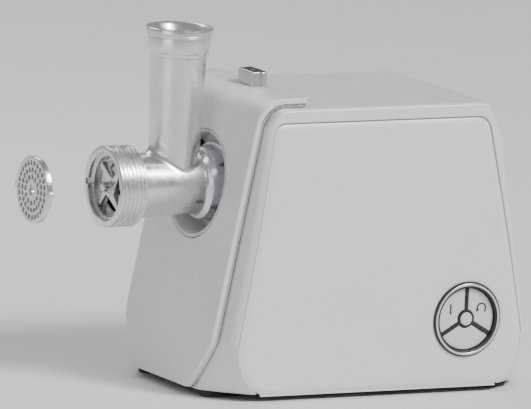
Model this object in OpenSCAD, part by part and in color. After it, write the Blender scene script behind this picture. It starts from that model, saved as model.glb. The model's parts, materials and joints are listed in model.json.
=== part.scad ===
// Electric meat grinder with a trapezoid body, a front grinding head and a
// geared motor inside. Millimetres, +Z up, the barrel points towards -X, the
// switch is on the -Y side and the feet stand on z = 0.

/* [Body] */
// Height of the roof above the table
roof_z = 237; // [235:0.5:238]
// Height of the underside of the housing
body_z = 6; // [5:0.5:8]
// Largest half width of the side walls
side_w = 90.5; // [88:0.5:94]
// Backward lean of the front, run over rise
front_slope = 0.18; // [0.16:0.01:0.2]
// Lean of the rear wall, run over rise
rear_slope = 0.17; // [0.14:0.01:0.2]
// Height of the crease where the lower corners are cut away
knee_z = 48; // [44:1:52]
// Thickness of the plastic shells
wall = 2.8; // [2.4:0.1:3.2]

/* [Front cover] */
// Height of the top of the cover
cover_z = 245; // [243:0.5:248]
// Half width of the cover above the knee
cover_w = 74; // [72:0.5:75]
// Half width of the cover at its lower edge
cover_foot_w = 50; // [46:1:54]
// Radius between the leaning front and the top
cover_r = 27; // [24:1:30]
// Depth of the cover's edge
cover_edge = 4.5; // [4:0.5:5]

/* [Grinding head] */
// Height of the barrel's axis
barrel_z = 165; // [160:1:170]
// Position of the feed tube's axis
tube_x = -89; // [-91:1:-87]
// Position of the barrel's mouth
mouth_x = -152; // [-154:1:-150]
// Radius of the threaded collar
collar_r = 33; // [32.5:0.5:34]
// Radius of the feed tube's bore
tube_bore_r = 19; // [18.5:0.1:19.3]
// Height of the top of the feed tube
tube_top_z = 294; // [285:1:296]
// Radius of the cutting plate
plate_r = 27; // [26.5:0.1:27.2]
// Distance from the displayed cutting plate to its seat
plate_travel = 65; // [40:1:65]

/* [Drive] */
// Teeth on every pinion
pinion_n = 12; // [12:1:13]
// Teeth on the output gear
output_n = 42; // [40:1:42]
// Teeth on the second idler's wheel
second_n = 48; // [46:1:48]
// Teeth on the first idler's wheel
first_n = 66; // [64:1:66]

/* [Switch] */
// Position of the switch along the body
switch_x = 139.5; // [136:0.5:141]
// Height of the switch's centre
switch_z = 61; // [60:1:64]
// Outer radius of the switch's bezel
bezel_r = 31; // [30.5:0.1:31.5]

/* [Hidden] */
$fn = 48;

white = [0.93, 0.93, 0.91];
silver = [0.72, 0.73, 0.75];
steel = [0.6, 0.61, 0.63];
dark = [0.12, 0.12, 0.13];
nylon = [0.85, 0.84, 0.78];
copper = [0.72, 0.42, 0.22];
bronze = [0.62, 0.47, 0.26];

// ---- outline of the body ------------------------------------------------
lean = atan(front_slope);
foot_z = cover_edge + 3;
front_top_x = -52.6;
function front_x(z) = front_top_x - front_slope * (236 - z);
arc_c = [front_x(cover_z - cover_r) + cover_r / cos(lean), cover_z - cover_r];
cover_back_x = -3;
cover_back_r = 900;
housing_inset = 8;

// The cover's side profile, moved inwards by d
function cover_path(d, z0 = foot_z) = concat(
  [[front_x(z0) + d / cos(lean), z0]],
  [for (t = [0:9]) let (a = 180 - lean - t * (90 - lean) / 9)
    arc_c + (cover_r - d) * [cos(a), sin(a)]],
  [[20, cover_z - d]]
);
function reversed(v) = [for (i = [len(v) - 1:-1:0]) v[i]];

// Half widths and corner places of the housing at height z
function side_at(z) = lookup(z, [[0, side_w - 2], [body_z, side_w - 1.5], [body_z + 8, side_w - 0.2],
  [22, side_w], [96, side_w], [150, side_w - 2.3], [190, side_w - 5.5], [216, side_w - 8],
  [roof_z - 4, side_w - 10], [roof_z - 1, side_w - 11], [roof_z, side_w - 13]]);
function front_w_at(z) = lookup(z, [[body_z, cover_foot_w + 2], [knee_z, cover_w + 1.5],
  [roof_z, cover_w + 1.5]]);
function rear_w_at(z) = lookup(z, [[body_z, 58], [knee_z, 71], [190, 71], [roof_z, 66]]);
function panel_front_at(z) = lookup(z, [[body_z, -46], [10, -54], [20, -63], [34, -68.5],
  [50, -69], [224, -40]]);
function panel_rear_at(z) = lookup(z, [[body_z, 170], [10, 177], [20, 185], [34, 190.5],
  [50, 191], [224, 154]]);
rear_round = 16;
function rear_x(z) = 168.6 + rear_slope * (roof_z - z)
  - (rear_round - sqrt(pow(rear_round, 2) - pow(max(0, z - roof_z + rear_round), 2)));
function corner_power(z) = lookup(z, [[body_z, 1.7], [knee_z - 4, 1.5], [knee_z, 1]]);

corner_n = 6;
// One side of the outline at height z, moved inwards by d, front to rear
function half_outline(z, d) = let (
  y = side_at(z) - d,
  p = corner_power(z),
  xf = front_x(z) + housing_inset / cos(lean) + d, wf = front_w_at(z) - d,
  xp = max(panel_front_at(z), xf + 3), xq = panel_rear_at(z) - d,
  xr = rear_x(z) - d, wr = rear_w_at(z) - d
) concat(
  [for (i = [0:corner_n]) let (a = 90 * i / corner_n)
    [xp - (xp - xf) * pow(cos(a), p), -wf - (y - wf) * pow(sin(a), p)]],
  [for (i = [0:corner_n]) let (a = 90 * i / corner_n)
    [min(xq, xr - 4) + (xr - min(xq, xr - 4)) * pow(sin(a), p), -wr - (y - wr) * pow(cos(a), p)]]
);
function outline(z, d = 0) = let (h = half_outline(z, d))
  concat(h, [for (i = [len(h) - 1:-1:0]) [h[i][0], -h[i][1]]]);

body_levels = [body_z, 9, 14, 22, 34, knee_z, 70, 96, 123, 150, 190, 216, 223, roof_z - 4,
  roof_z - 1, roof_z];

// A closed solid skinned over the outlines at the given heights
module loft(levels, d) {
  n = len(outline(50));
  pts = [for (z = levels) for (p = outline(z, d)) [p[0], p[1], z]];
  k = len(levels);
  polyhedron(pts, concat(
    [[for (i = [0:n - 1]) i]],
    [[for (i = [n - 1:-1:0]) (k - 1) * n + i]],
    [for (j = [0:k - 2]) for (i = [0:n - 1]) for (t = [0, 1]) let (m = (i + 1) % n)
      t == 0 ? [j * n + i, (j + 1) * n + i, j * n + m] : [j * n + m, (j + 1) * n + i, (j + 1) * n + m]]
  ));
}

// ---- helpers ---------------------------------------------------------------
module along_y(h) { rotate([90, 0, 0]) linear_extrude(2 * h, center = true) children(); }
module along_x(x0, x1) { translate([x0, 0, 0]) rotate([90, 0, 90]) linear_extrude(x1 - x0) children(); }
module rod_x(x0, x1, r, y = 0, z = 0) {
  translate([x0, y, z]) rotate([0, 90, 0]) cylinder(h = x1 - x0, r = r);
}
module rod_y(y0, y1, r, x = 0, z = 0) {
  translate([x, y1, z]) rotate([90, 0, 0]) cylinder(h = y1 - y0, r = r);
}
module block(x, y, z) {
  translate([x[0], y[0], z[0]]) cube([x[1] - x[0], y[1] - y[0], z[1] - z[0]]);
}
module tube_x(x0, x1, r, bore, y = 0, z = 0) {
  difference() { rod_x(x0, x1, r, y, z); rod_x(x0 - 1, x1 + 1, bore, y, z); }
}
// A helical wire of radius wr standing on z = 0
module coil(r, wr, h, turns) {
  steps = turns * 12;
  sides = 6;
  pts = [for (i = [0:steps]) let (a = 30 * i, z = wr + (h - 2 * wr) * i / steps)
    for (k = [0:sides - 1]) let (b = 60 * k)
      [(r + wr * cos(b)) * cos(a), (r + wr * cos(b)) * sin(a), z + wr * sin(b)]];
  polyhedron(pts, concat(
    [[for (k = [sides - 1:-1:0]) k]],
    [[for (k = [0:sides - 1]) steps * sides + k]],
    [for (i = [0:steps - 1]) for (k = [0:sides - 1]) for (t = [0, 1])
      let (m = (k + 1) % sides, a = i * sides, b = (i + 1) * sides)
        t == 0 ? [a + k, a + m, b + k] : [a + m, b + m, b + k]]
  ));
}

// ---- body shells ---------------------------------------------------------
// Front view of the cover, moved inwards by d
module cover_front(d) {
  w = cover_w - d;
  f = cover_foot_w - d;
  z0 = foot_z + (d > 0 ? d : -1);
  polygon([[-f, z0], [-w, knee_z], [-w, cover_z + 5], [w, cover_z + 5], [w, knee_z], [f, z0]]);
}
module cover_solid(d0, d1, side, back) {
  intersection() {
    along_y(cover_w) polygon(concat(cover_path(d0), reversed(cover_path(d1))));
    along_x(-130, 30) cover_front(side);
    translate([cover_back_x - cover_back_r, 0, 0]) cylinder(h = 300, r = cover_back_r - back, $fn = 160);
  }
}
lock_x = [-27, -13];
lock_w = 13.5;
socket_r = [43.6, 41];
module front_cover() color(white) difference() {
  cover_solid(0, cover_edge, 0, 0);
  cover_solid(wall, cover_edge + 1, wall, wall);
  rod_x(-110, 0, socket_r[0] + 0.4, 0, barrel_z);
  block([lock_x[0] - 0.4, lock_x[1] + 0.4], [-lock_w - 0.4, lock_w + 0.4], [230, 260]);
}
module front_trim() color(silver) difference() {
  cover_solid(cover_edge + 0.5, housing_inset - 0.5, 0.9, 0.9);
  cover_solid(cover_edge - 1, housing_inset + 1, 5, 5);
}

module housing_shell() difference() {
  intersection() {
    loft(body_levels, 0);
    along_y(120) polygon(concat([[-130, 0]], cover_path(housing_inset, body_z - 1),
      [[260, cover_z - housing_inset], [260, 0]]));
  }
  intersection() {
    loft([4, 9, 14, 22, 34, knee_z, 96, 150, 190, 216, roof_z - 5, roof_z - wall], wall);
    along_y(110) polygon(concat([[-130, 0]], cover_path(housing_inset + wall, 0),
      [[260, cover_z - housing_inset - wall], [260, 0]]));
  }
  // open front, where the cover and the head's socket are
  block([-120, -16], [-62, 62], [20, 260]);
  block([lock_x[0] - 2, lock_x[1] + 1.5], [-15, 15], [220, 260]);
}
module panel_outline(grow = 0) {
  g = grow;
  polygon(concat(
    [[-46 - g, body_z - g], [-54 - g, 10], [-63 - g, 20], [-68.5 - g, 34], [-69 - g, 50]],
    [for (a = [180:-15:90]) [-29.5 + (11 + g) * cos(a), 214 + (11 + g) * sin(a)]],
    [for (a = [90:-15:0]) [144.4 + (11 + g) * cos(a), 214 + (11 + g) * sin(a)]],
    [[191 + g, 50], [190.5 + g, 34], [185 + g, 20], [177 + g, 10], [170 + g, body_z - g]]
  ));
}
panel_levels = [4, 9, 14, 22, 34, knee_z, 70, 96, 123, 150, 190, 216, 223, roof_z - 4];
module panel_cut() translate([0, -100, 0]) rotate([90, 0, 0]) linear_extrude(70, center = true) children();
module panel_solid() intersection() {
  difference() {
    loft(body_levels, -0.7);
    loft(panel_levels, 1.3);
  }
  panel_cut() panel_outline();
}
module half_housing() difference() {
  housing_shell();
  block([-200, 300], [0, 120], [-5, 300]);
  difference() {
    panel_cut() panel_outline(0.4);
    loft(panel_levels, 1.5);
  }
}
module right_housing() color(white) difference() {
  half_housing();
  rod_y(-100, -60, 27, switch_x, switch_z);
}
gland = [40, 44];
gland_x = [192, 217];
module left_housing() color(white) difference() {
  mirror([0, 1, 0]) half_housing();
  rod_x(gland_x[0] - 5, gland_x[1] + 5, 8.1, gland[0], gland[1]);
}
module right_panel() color(white) difference() {
  panel_solid();
  rod_y(-100, -60, 27, switch_x, switch_z);
}
module left_panel() color(white) mirror([0, 1, 0]) panel_solid();

base_t = 3;
foot_at = [[-64, 52], [174, 66]];
base_screw_at = [for (x = [-20, 130]) for (y = [-70, 70]) [x, y]];
foot_len = 36;
foot_w = 16;
module slot(len, w) {
  square([len - w, w], center = true);
  for (s = [-1, 1]) translate([s * (len - w) / 2, 0]) circle(d = w);
}
module base_plate() color(dark) difference() {
  translate([0, 0, body_z]) linear_extrude(base_t) polygon(outline(body_z, wall + 1));
  for (p = foot_at) for (s = [-1, 1]) translate([p[0], s * p[1], 0]) cylinder(h = 20, r = 3);
  for (i = [-3:3]) translate([60 + 9 * i, 0, 0]) rotate(90) linear_extrude(20) slot(60, 4);
  for (p = base_screw_at) translate([p[0], p[1], 0]) cylinder(h = 20, r = 1.7);
}
module rubber_feet() color(dark)
  for (p = foot_at) for (s = [-1, 1]) translate([p[0], s * p[1], 0]) {
    linear_extrude(body_z) slot(foot_len, foot_w);
    translate([0, 0, body_z]) cylinder(h = base_t, r = 2.95);
    translate([0, 0, body_z + base_t]) cylinder(h = 2, r = 4.5);
  }
module base_screws() color(steel) for (p = base_screw_at) translate([p[0], p[1], 0]) {
  translate([0, 0, body_z - 2]) cylinder(h = 2, r = 3.2);
  translate([0, 0, body_z]) cylinder(h = 9, r = 1.65);
}
module cord_gland() color(dark) difference() {
  union() {
    rod_x(gland_x[0], gland_x[1], 8, gland[0], gland[1]);
    rod_x(gland_x[0] + 1, gland_x[0] + 4.3, 11, gland[0], gland[1]);
  }
  rod_x(gland_x[0] - 5, gland_x[1] + 5, 3.6, gland[0], gland[1]);
}
module terminal_block() color(nylon) difference() {
  block([160, 180], [gland[0] - 14, gland[0] + 14], [body_z + base_t, 27]);
  for (i = [-1:1]) rod_x(150, 190, 2, gland[0] + 8.5 * i, 20);
}

// ---- socket and lock ---------------------------------------------------------
floor_x = [-47, -43];
module inside_cover() intersection() {
  along_y(cover_w) polygon(concat(cover_path(0.4), [[20, foot_z]]));
  children();
}
module socket_ring() color(silver) difference() {
  union() {
    inside_cover() tube_x(-84, floor_x[1], socket_r[0], socket_r[1], 0, barrel_z);
    tube_x(floor_x[0], floor_x[1], socket_r[0], 16, 0, barrel_z);
    for (s = [0, 180]) intersection() {
      tube_x(-56.6, -52.8, socket_r[1] + 0.5, 34.2, 0, barrel_z);
      translate([0, 0, barrel_z]) rotate([s, 0, 0]) block([-70, -40], [28, 50], [-9, 9]);
    }
  }
  block([-60, -40], [-5, 5], [126, 138]);
}
module latch_guide() color(nylon) difference() {
  union() {
    block([-33, -7], [-14, 14], [222, 224.5]);
    for (s = [-1, 1]) block([-31, -9], [s * 12.5 - 1.5, s * 12.5 + 1.5], [200, 222.5]);
  }
  rod_x(-60, 30, box_r + 3.1, 0, barrel_z);
  block([-25, -15], [-4.6, 4.6], [200, 240]);
}
module lock_button() color(silver) difference() {
  translate([0, 0, 236]) linear_extrude(20.5) intersection() {
    translate([lock_x[0], -lock_w]) square([lock_x[1] - lock_x[0], 2 * lock_w]);
    translate([lock_x[0] - 12, 0]) circle(r = 27.9);
  }
  for (i = [-5:5]) block([-30, -10], [2.2 * i - 0.5, 2.2 * i + 0.5], [255.6, 260]);
}
module lock_latch() color(steel) {
  difference() {
    union() {
      rod_x(-42, -40, 37, 0, barrel_z);
      block([-42, -40], [-8, 8], [barrel_z + 30, 217]);
      block([-53, -40], [-4, 4], [132, 135]);
    }
    rod_x(-60, -38, 31, 0, barrel_z);
  }
  difference() {
    block([-42, -15.5], [-8, 8], [215, 217]);
    block([-60, -41.9], [-20, 20], [210, 220]);
  }
  block([-24, -16], [-4, 4], [217, 236]);
}
module lock_spring() color(steel) translate([-20, 0, 224.5]) coil(7.2, 0.5, 11.4, 4);

// ---- grinding head -------------------------------------------------------------
seat_x = mouth_x + 5.2;
blade_x = seat_x + 0.3;
auger_x = blade_x + 6.1;
barrel_r = [26.7, 24.2];
collar_len = 23.6;
thread_n = 6;
thread_pitch = 3.7;
thread_depth = 1.6;
module barrel_outside() rotate([0, 90, 0]) rotate_extrude($fn = 96) polygon(concat(
  [[0, mouth_x], [collar_r, mouth_x]],
  [for (i = [0:thread_n - 1]) for (p = [[0, 1.4], [thread_depth, 2.3], [thread_depth, 2.8], [0, 3.6]])
    [collar_r - p[0], mouth_x + i * thread_pitch + p[1]]],
  [[collar_r, mouth_x + collar_len], [barrel_r[0], mouth_x + collar_len + 1.6], [barrel_r[1], -68],
    [29, -66], [30, -53], [33, -52], [33, -48], [0, -48]]
));
// Where the feed tube's bore is round and true: from bore_z up to its funnel
bore_z = 196;
funnel_h = 8;
module tube_outside() translate([tube_x, 0, 0]) rotate_extrude($fn = 96) polygon([
  [0, barrel_z], [20.8, barrel_z], [20.9, barrel_z + 28], [23, tube_top_z - 23.6],
  [23.8, tube_top_z - 23], [23.8, tube_top_z - 20], [24.8, tube_top_z - 19.5],
  [25.5, tube_top_z - 8], [26.1, tube_top_z - 7.6], [26.3, tube_top_z - 4.4],
  [27, tube_top_z - 4], [27.4, tube_top_z - 3.4], [27.4, tube_top_z - 0.6], [26.9, tube_top_z],
  [0, tube_top_z]
]);
module grinder_head() color(silver) difference() {
  union() {
    translate([0, 0, barrel_z]) barrel_outside();
    tube_outside();
    for (s = [0, 180]) intersection() {
      tube_x(-52, -48.4, 37.4, 32, 0, barrel_z);
      translate([0, 0, barrel_z]) rotate([s, 0, 0]) block([-60, -40], [25, 50], [-9, 9]);
    }
  }
  rod_x(mouth_x + 12, -66, 21.5, 0, barrel_z);
  rod_x(seat_x - 0.01, mouth_x + 12.01, 25, 0, barrel_z);
  rod_x(mouth_x - 1, seat_x, plate_r + 0.4, 0, barrel_z);
  block([mouth_x - 1, seat_x], [-30.2, 30.2], [barrel_z - 2.4, barrel_z + 2.4]);
  rod_x(-70, -50, 12, 0, barrel_z);
  rod_x(-57, -40, 26, 0, barrel_z);
  block([-53.6, -47], [-4.4, 4.4], [barrel_z - 34, barrel_z - 29]);
  translate([tube_x, 0, barrel_z])
    cylinder(h = bore_z - barrel_z, r1 = tube_bore_r - 0.4, r2 = tube_bore_r);
  translate([tube_x, 0, bore_z]) cylinder(h = 150, r = tube_bore_r);
  translate([tube_x, 0, tube_top_z - funnel_h]) cylinder(h = funnel_h + 0.01, r1 = tube_bore_r, r2 = 23.2);
}
module head_bush() color(bronze) tube_x(-66, -57.5, 12, 8.05, 0, barrel_z);

auger_r = 20.7;
auger_pitch = 21;
// Spiral flight from x0 to x1, thick at the root and thin at the rim
module flight(x0, x1) {
  steps = 72;
  turns = (x1 - x0 - 7) / auger_pitch;
  pts = [for (i = [0:steps]) let (a = 360 * turns * i / steps, x = x0 + 3.5 + (x1 - x0 - 7) * i / steps)
    for (q = [[-3.4, 8], [3.4, 8], [1.3, auger_r], [-1.3, auger_r]])
      [x + q[0], q[1] * cos(a), q[1] * sin(a)]];
  polyhedron(pts, concat(
    [[0, 1, 2, 3]],
    [[for (k = [3:-1:0]) steps * 4 + k]],
    [for (i = [0:steps - 1]) for (k = [0:3]) for (t = [0, 1])
      let (m = (k + 1) % 4, a = i * 4, b = (i + 1) * 4)
        t == 0 ? [a + k, b + k, a + m] : [a + m, b + k, b + m]]
  ));
}
module auger() color(nylon) translate([0, 0, barrel_z]) {
  rod_x(auger_x, -67, 9.5);
  flight(auger_x + 0.5, -68);
  rod_x(-67, -57, 8);
  rotate([0, 90, 0]) translate([0, 0, -57]) cylinder(h = 11.5, r = 5.6, $fn = 6);
  block([blade_x + 0.1, auger_x], [-4.6, 4.6], [-4.6, 4.6]);
  rod_x(mouth_x - 1, blade_x + 0.1, 3.95);
}
blade_r = 24;
module cutting_blade() color(steel) translate([0, 0, barrel_z]) along_x(blade_x, blade_x + 6) difference() {
  union() {
    circle(r = 9);
    for (a = [45:90:315]) rotate(a)
      polygon([[0, -1.5], [blade_r - 0.2, -1.5], [blade_r - 0.6, 2], [14, 4.6], [6, 6.8], [0, 6]]);
  }
  square(9.4, center = true);
}
plate_t = 5;
plate_x = mouth_x - plate_travel;
// Rings of holes: radius of the ring and number of holes
plate_rings = [[10.8, 12], [16.3, 20], [22, 26]];
plate_hole_r = 1.9;
module cutting_plate() color(steel) translate([0, 0, barrel_z]) difference() {
  union() {
    rod_x(plate_x, plate_x + plate_t, plate_r);
    for (s = [-1, 1]) block([plate_x, plate_x + plate_t], [s * 28 - 1.8, s * 28 + 1.8], [-2, 2]);
  }
  rod_x(plate_x - 1, plate_x + plate_t + 1, 4);
  for (g = plate_rings) for (i = [0:g[1] - 1]) rotate([360 * i / g[1], 0, 0])
    rod_x(plate_x - 1, plate_x + plate_t + 1, plate_hole_r, g[0], 0, $fn = 16);
}

// ---- gears ------------------------------------------------------------------
pressure = 25;
m_first = 0.8;
m_second = 1.25;
m_output = 1.75;
backlash = 0.05;
function inv(a) = tan(a) * 180 / PI - a;
// Involute outline of a gear with n teeth of module m
function gear_points(m, n) = let (
  rp = m * n / 2, rb = rp * cos(pressure), ra = rp + m, rf = rp - 1.25 * m,
  half = 90 / n - backlash / rp * 180 / PI + inv(pressure),
  r0 = max(rb, rf) + 0.001,
  rs = [for (k = [0:3]) r0 + (ra - r0) * k / 3],
  up = [for (r = rs) [r, half - inv(acos(rb / r))]],
  side = concat([[rf, min(up[0][1] + 0.3, 180 / n - 0.1)]], up)
) [for (i = [0:n - 1]) let (c = 360 * i / n)
    for (s = [-1, 1]) for (k = [0:len(side) - 1])
      let (q = side[s < 0 ? k : len(side) - 1 - k], a = c + s * q[1]) q[0] * [cos(a), sin(a)]];
module gear(x, m, n, phase, c) {
  translate([x[0], c[0], c[1]]) rotate([90, 0, 90]) rotate(phase)
    linear_extrude(x[1] - x[0]) polygon(gear_points(m, n));
}
// Angle of the driven gear's tooth that meshes with a gear of na teeth at phase pa
function mesh_phase(pa, na, nb, dir) = dir + 180 - (pa - dir) * na / nb + 180 / nb;
function toward(a, b) = atan2(b[1] - a[1], b[0] - a[0]);

plane_a = [-31, -17];
plane_b = [-14, -5];
plane_c = [-1, 6];
box_x = [-38.5, 9];
box_r = 40;
axis_out = [0, barrel_z];
c_out = m_output * (pinion_n + output_n) / 2;
c_second = m_second * (pinion_n + second_n) / 2;
c_first = m_first * (pinion_n + first_n) / 2;
axis_second = [-8, barrel_z - sqrt(pow(c_out, 2) - 64)];
axis_first = [10, axis_second[1] - sqrt(pow(c_second, 2) - 324)];
axis_motor = [0, axis_first[1] - sqrt(pow(c_first, 2) - 100)];
phase_second = mesh_phase(0, output_n, pinion_n, toward(axis_out, axis_second));
phase_first = mesh_phase(phase_second, second_n, pinion_n, toward(axis_second, axis_first));
phase_motor = mesh_phase(phase_first, first_n, pinion_n, toward(axis_first, axis_motor));

module output_shaft() color(steel) difference() {
  union() {
    rod_x(-55.5, -40.2, 12.5, 0, barrel_z);
    rod_x(-40.2, plane_a[1], 9, 0, barrel_z);
    rod_x(plane_a[1], 8, 6, 0, barrel_z);
  }
  translate([-56, 0, barrel_z]) rotate([0, 90, 0]) cylinder(h = 12, r = 5.9, $fn = 6);
}
module output_gear() color(nylon) difference() {
  gear(plane_a, m_output, output_n, 0, axis_out);
  rod_x(-60, 0, 9, 0, barrel_z);
  for (a = [0:60:300]) translate([0, 0, barrel_z]) rotate([a, 0, 0]) rod_x(-60, 0, 7, 22, 0);
}
module second_idler_gear() color(nylon) difference() {
  union() {
    gear(plane_a, m_output, pinion_n, phase_second, axis_second);
    gear(plane_b, m_second, second_n, phase_second, axis_second);
    rod_x(-34.2, plane_a[0], 7, axis_second[0], axis_second[1]);
    rod_x(plane_a[1], plane_b[0], 8, axis_second[0], axis_second[1]);
    rod_x(plane_b[1], 8.6, 7, axis_second[0], axis_second[1]);
  }
  rod_x(-60, 20, 4.05, axis_second[0], axis_second[1]);
}
module first_idler_gear() color(nylon) difference() {
  union() {
    gear(plane_b, m_second, pinion_n, phase_first, axis_first);
    gear(plane_c, m_first, first_n, phase_first, axis_first);
    rod_x(-34.2, plane_b[0], 5.6, axis_first[0], axis_first[1]);
    rod_x(plane_b[1], plane_c[0], 5.6, axis_first[0], axis_first[1]);
    rod_x(plane_c[1], 8.6, 5.6, axis_first[0], axis_first[1]);
  }
  rod_x(-60, 20, 3.05, axis_first[0], axis_first[1]);
}
motor_shaft_r = 2.5;
module motor_pinion() color(steel) difference() {
  gear([-2, 7], m_first, pinion_n, phase_motor, axis_motor);
  rod_x(-20, 20, motor_shaft_r, axis_motor[0], axis_motor[1]);
}
module gear_pins() color(steel) {
  rod_x(box_x[0] + 0.3, 12.7, 4, axis_second[0], axis_second[1]);
  rod_x(box_x[0] + 0.3, 12.7, 3, axis_first[0], axis_first[1]);
}
module box_outline(r) {
  translate(axis_out) circle(r = r);
  translate([-r, axis_motor[1] - r + 23]) square([2 * r, barrel_z - axis_motor[1] + r - 23]);
}
box_screw_at = [for (s = [-1, 1]) for (z = [66, 110, 150]) [s * (box_r + 6), z]];
module gearbox_housing() color([0.35, 0.36, 0.38]) difference() {
  union() {
    along_x(box_x[0], box_x[1]) box_outline(box_r + 3);
    for (p = box_screw_at) rod_x(box_x[1] - 14, box_x[1], 5, p[0], p[1]);
    for (s = [-1, 1]) block([-36, 5], [s * 34 - 3, s * 34 + 3], [body_z + base_t, 45]);
  }
  along_x(box_x[0] + 4, box_x[1] + 1) box_outline(box_r);
  rod_x(-50, 0, 14, 0, barrel_z);
  rod_x(-50, 0, 4, axis_second[0], axis_second[1]);
  rod_x(-50, 0, 3, axis_first[0], axis_first[1]);
  for (p = box_screw_at) rod_x(-10, 20, 1.6, p[0], p[1]);
}
module gearbox_cover() color([0.35, 0.36, 0.38]) difference() {
  union() {
    along_x(box_x[1], 13) box_outline(box_r + 3);
    for (p = box_screw_at) rod_x(box_x[1], 13, 5, p[0], p[1]);
    rod_x(plane_b[0], box_x[1] + 1, 10, 0, barrel_z);
  }
  rod_x(-50, 12.5, 6.05, 0, barrel_z);
  rod_x(-50, 20, 4, axis_second[0], axis_second[1]);
  rod_x(-50, 20, 3, axis_first[0], axis_first[1]);
  rod_x(-50, 20, 8, axis_motor[0], axis_motor[1]);
  for (p = box_screw_at) rod_x(-10, 20, 1.6, p[0], p[1]);
}
module gearbox_screws() color(steel) for (p = box_screw_at) {
  rod_x(-4, 13, 1.55, p[0], p[1]);
  rod_x(13, 15.4, 3, p[0], p[1]);
}
module output_bush() color(bronze) tube_x(-40, -33, 14, 9.05, 0, barrel_z);
module shaft_seal() color(dark) tube_x(-46.5, -43.4, 16, 12.8, 0, barrel_z);

// ---- motor -------------------------------------------------------------------
stack_x = [36, 78];
rotor_r = 18.4;
module at_motor() translate([0, axis_motor[0], axis_motor[1]]) children();
module motor_shaft() color(steel) at_motor() {
  rod_x(-3, 14, motor_shaft_r);
  rod_x(14, 118, 4);
}
module rotor_core() color(steel) at_motor() difference() {
  rod_x(stack_x[0], stack_x[1], rotor_r);
  rod_x(0, 120, 4);
  for (a = [0:30:330]) rotate([a, 0, 0]) block([0, 120], [11, 17.4], [-1.6, 1.6]);
}
module rotor_windings() color(copper) at_motor() {
  for (a = [0:30:330]) rotate([a, 0, 0]) block([stack_x[0] - 3, stack_x[1] + 3], [11.4, 17], [-1.4, 1.4]);
  tube_x(stack_x[0] - 8, stack_x[0] - 2, 16.5, 6);
  tube_x(stack_x[1] + 2, stack_x[1] + 8, 16.5, 6);
}
module commutator() color(copper) at_motor() difference() {
  rod_x(88, 102, 11);
  rod_x(80, 110, 4);
  for (a = [0:15:345]) rotate([a, 0, 0]) block([80, 110], [9.6, 12], [-0.25, 0.25]);
}
module motor_fan() color(dark) at_motor() difference() {
  union() {
    rod_x(19, 27.5, 8);
    rod_x(19, 21, 30);
    for (a = [0:36:324]) rotate([a, 0, 0]) block([21, 27], [7, 29], [-0.8, 0.8]);
  }
  rod_x(0, 40, 4);
}
module stator_outline() intersection() {
  square([76, 66], center = true);
  circle(r = 43);
}
// Everything within a degrees either side of the pole's centre line
module sector(a) { polygon(concat([[0, 0]], [for (t = [-a, -a / 3, a / 3, a]) 70 * [sin(t), cos(t)]])); }
module coil_space(grow) for (s = [0, 180]) rotate(s) difference() {
  intersection() {
    circle(r = 27 + grow);
    sector(66 + 2 * grow);
  }
  circle(r = 20 - grow);
  sector(24 - 2 * grow);
}
module stator_core() color(steel) at_motor() difference() {
  along_x(stack_x[0], stack_x[1]) stator_outline();
  along_x(0, 120) circle(r = rotor_r + 0.5);
  along_x(0, 120) coil_space(0.2);
  for (s = [-1, 1]) rod_x(0, 120, 2.1, s * 31, 22);
}
module field_coils() color(copper) at_motor() for (s = [0, 180]) rotate([s, 0, 0]) difference() {
  along_x(stack_x[0] - 6.5, stack_x[1] + 6.5) intersection() {
    circle(r = 27);
    sector(66);
  }
  rod_x(0, 120, 20);
  along_x(stack_x[0] - 1, stack_x[1] + 1) sector(24);
}
module motor_front_bracket() color(silver) at_motor() difference() {
  union() {
    along_x(13, 16) stator_outline();
    rod_x(13, 18.4, 10);
    for (s = [-1, 1]) for (t = [-1, 1]) block([16, stack_x[0]], [s * 34.5 - 3.5, s * 34.5 + 3.5],
      [t * 19 - 4, t * 19 + 4]);
  }
  rod_x(12.9, 13.6, 6.6);
  rod_x(13.5, 20, 8);
  for (s = [-1, 1]) rod_x(0, 120, 2.1, s * 31, 22);
  rod_x(18.5, 31, 30.8);
}
module motor_rear_bracket() color(silver) at_motor() difference() {
  union() {
    along_x(108, 111) stator_outline();
    rod_x(103.5, 111, 10);
    for (s = [-1, 1]) for (t = [-1, 1]) block([stack_x[1], 108], [s * 34.5 - 3.5, s * 34.5 + 3.5],
      [t * 19 - 4, t * 19 + 4]);
    block([100, 111], [-20, 20], [body_z + base_t - axis_motor[1], -31]);
  }
  rod_x(100, 120, 8);
  for (s = [-1, 1]) rod_x(0, 120, 2.1, s * 31, 22);
}
module motor_bearings() color(bronze) at_motor() {
  tube_x(14, 18.4, 8, 4.05);
  tube_x(104, 111, 8, 4.05);
}
module motor_bolts() color(steel) at_motor() for (s = [-1, 1]) {
  rod_x(13.5, 111, 2, s * 31, 22);
  rod_x(111, 114, 4, s * 31, 22);
}
module brush_holders() color(bronze) at_motor() for (s = [0, 180]) rotate([s, 0, 0]) difference() {
  block([90, 100], [13, 30.5], [-5, 5]);
  block([92, 98], [10, 40], [-3.5, 3.5]);
}
module carbon_brushes() color(dark) at_motor() for (s = [0, 180]) rotate([s, 0, 0])
  block([92.1, 97.9], [11.3, 27], [-3.4, 3.4]);

// ---- switch --------------------------------------------------------------------
face_y = -side_w - 0.7;
key_r = 16.5;
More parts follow.
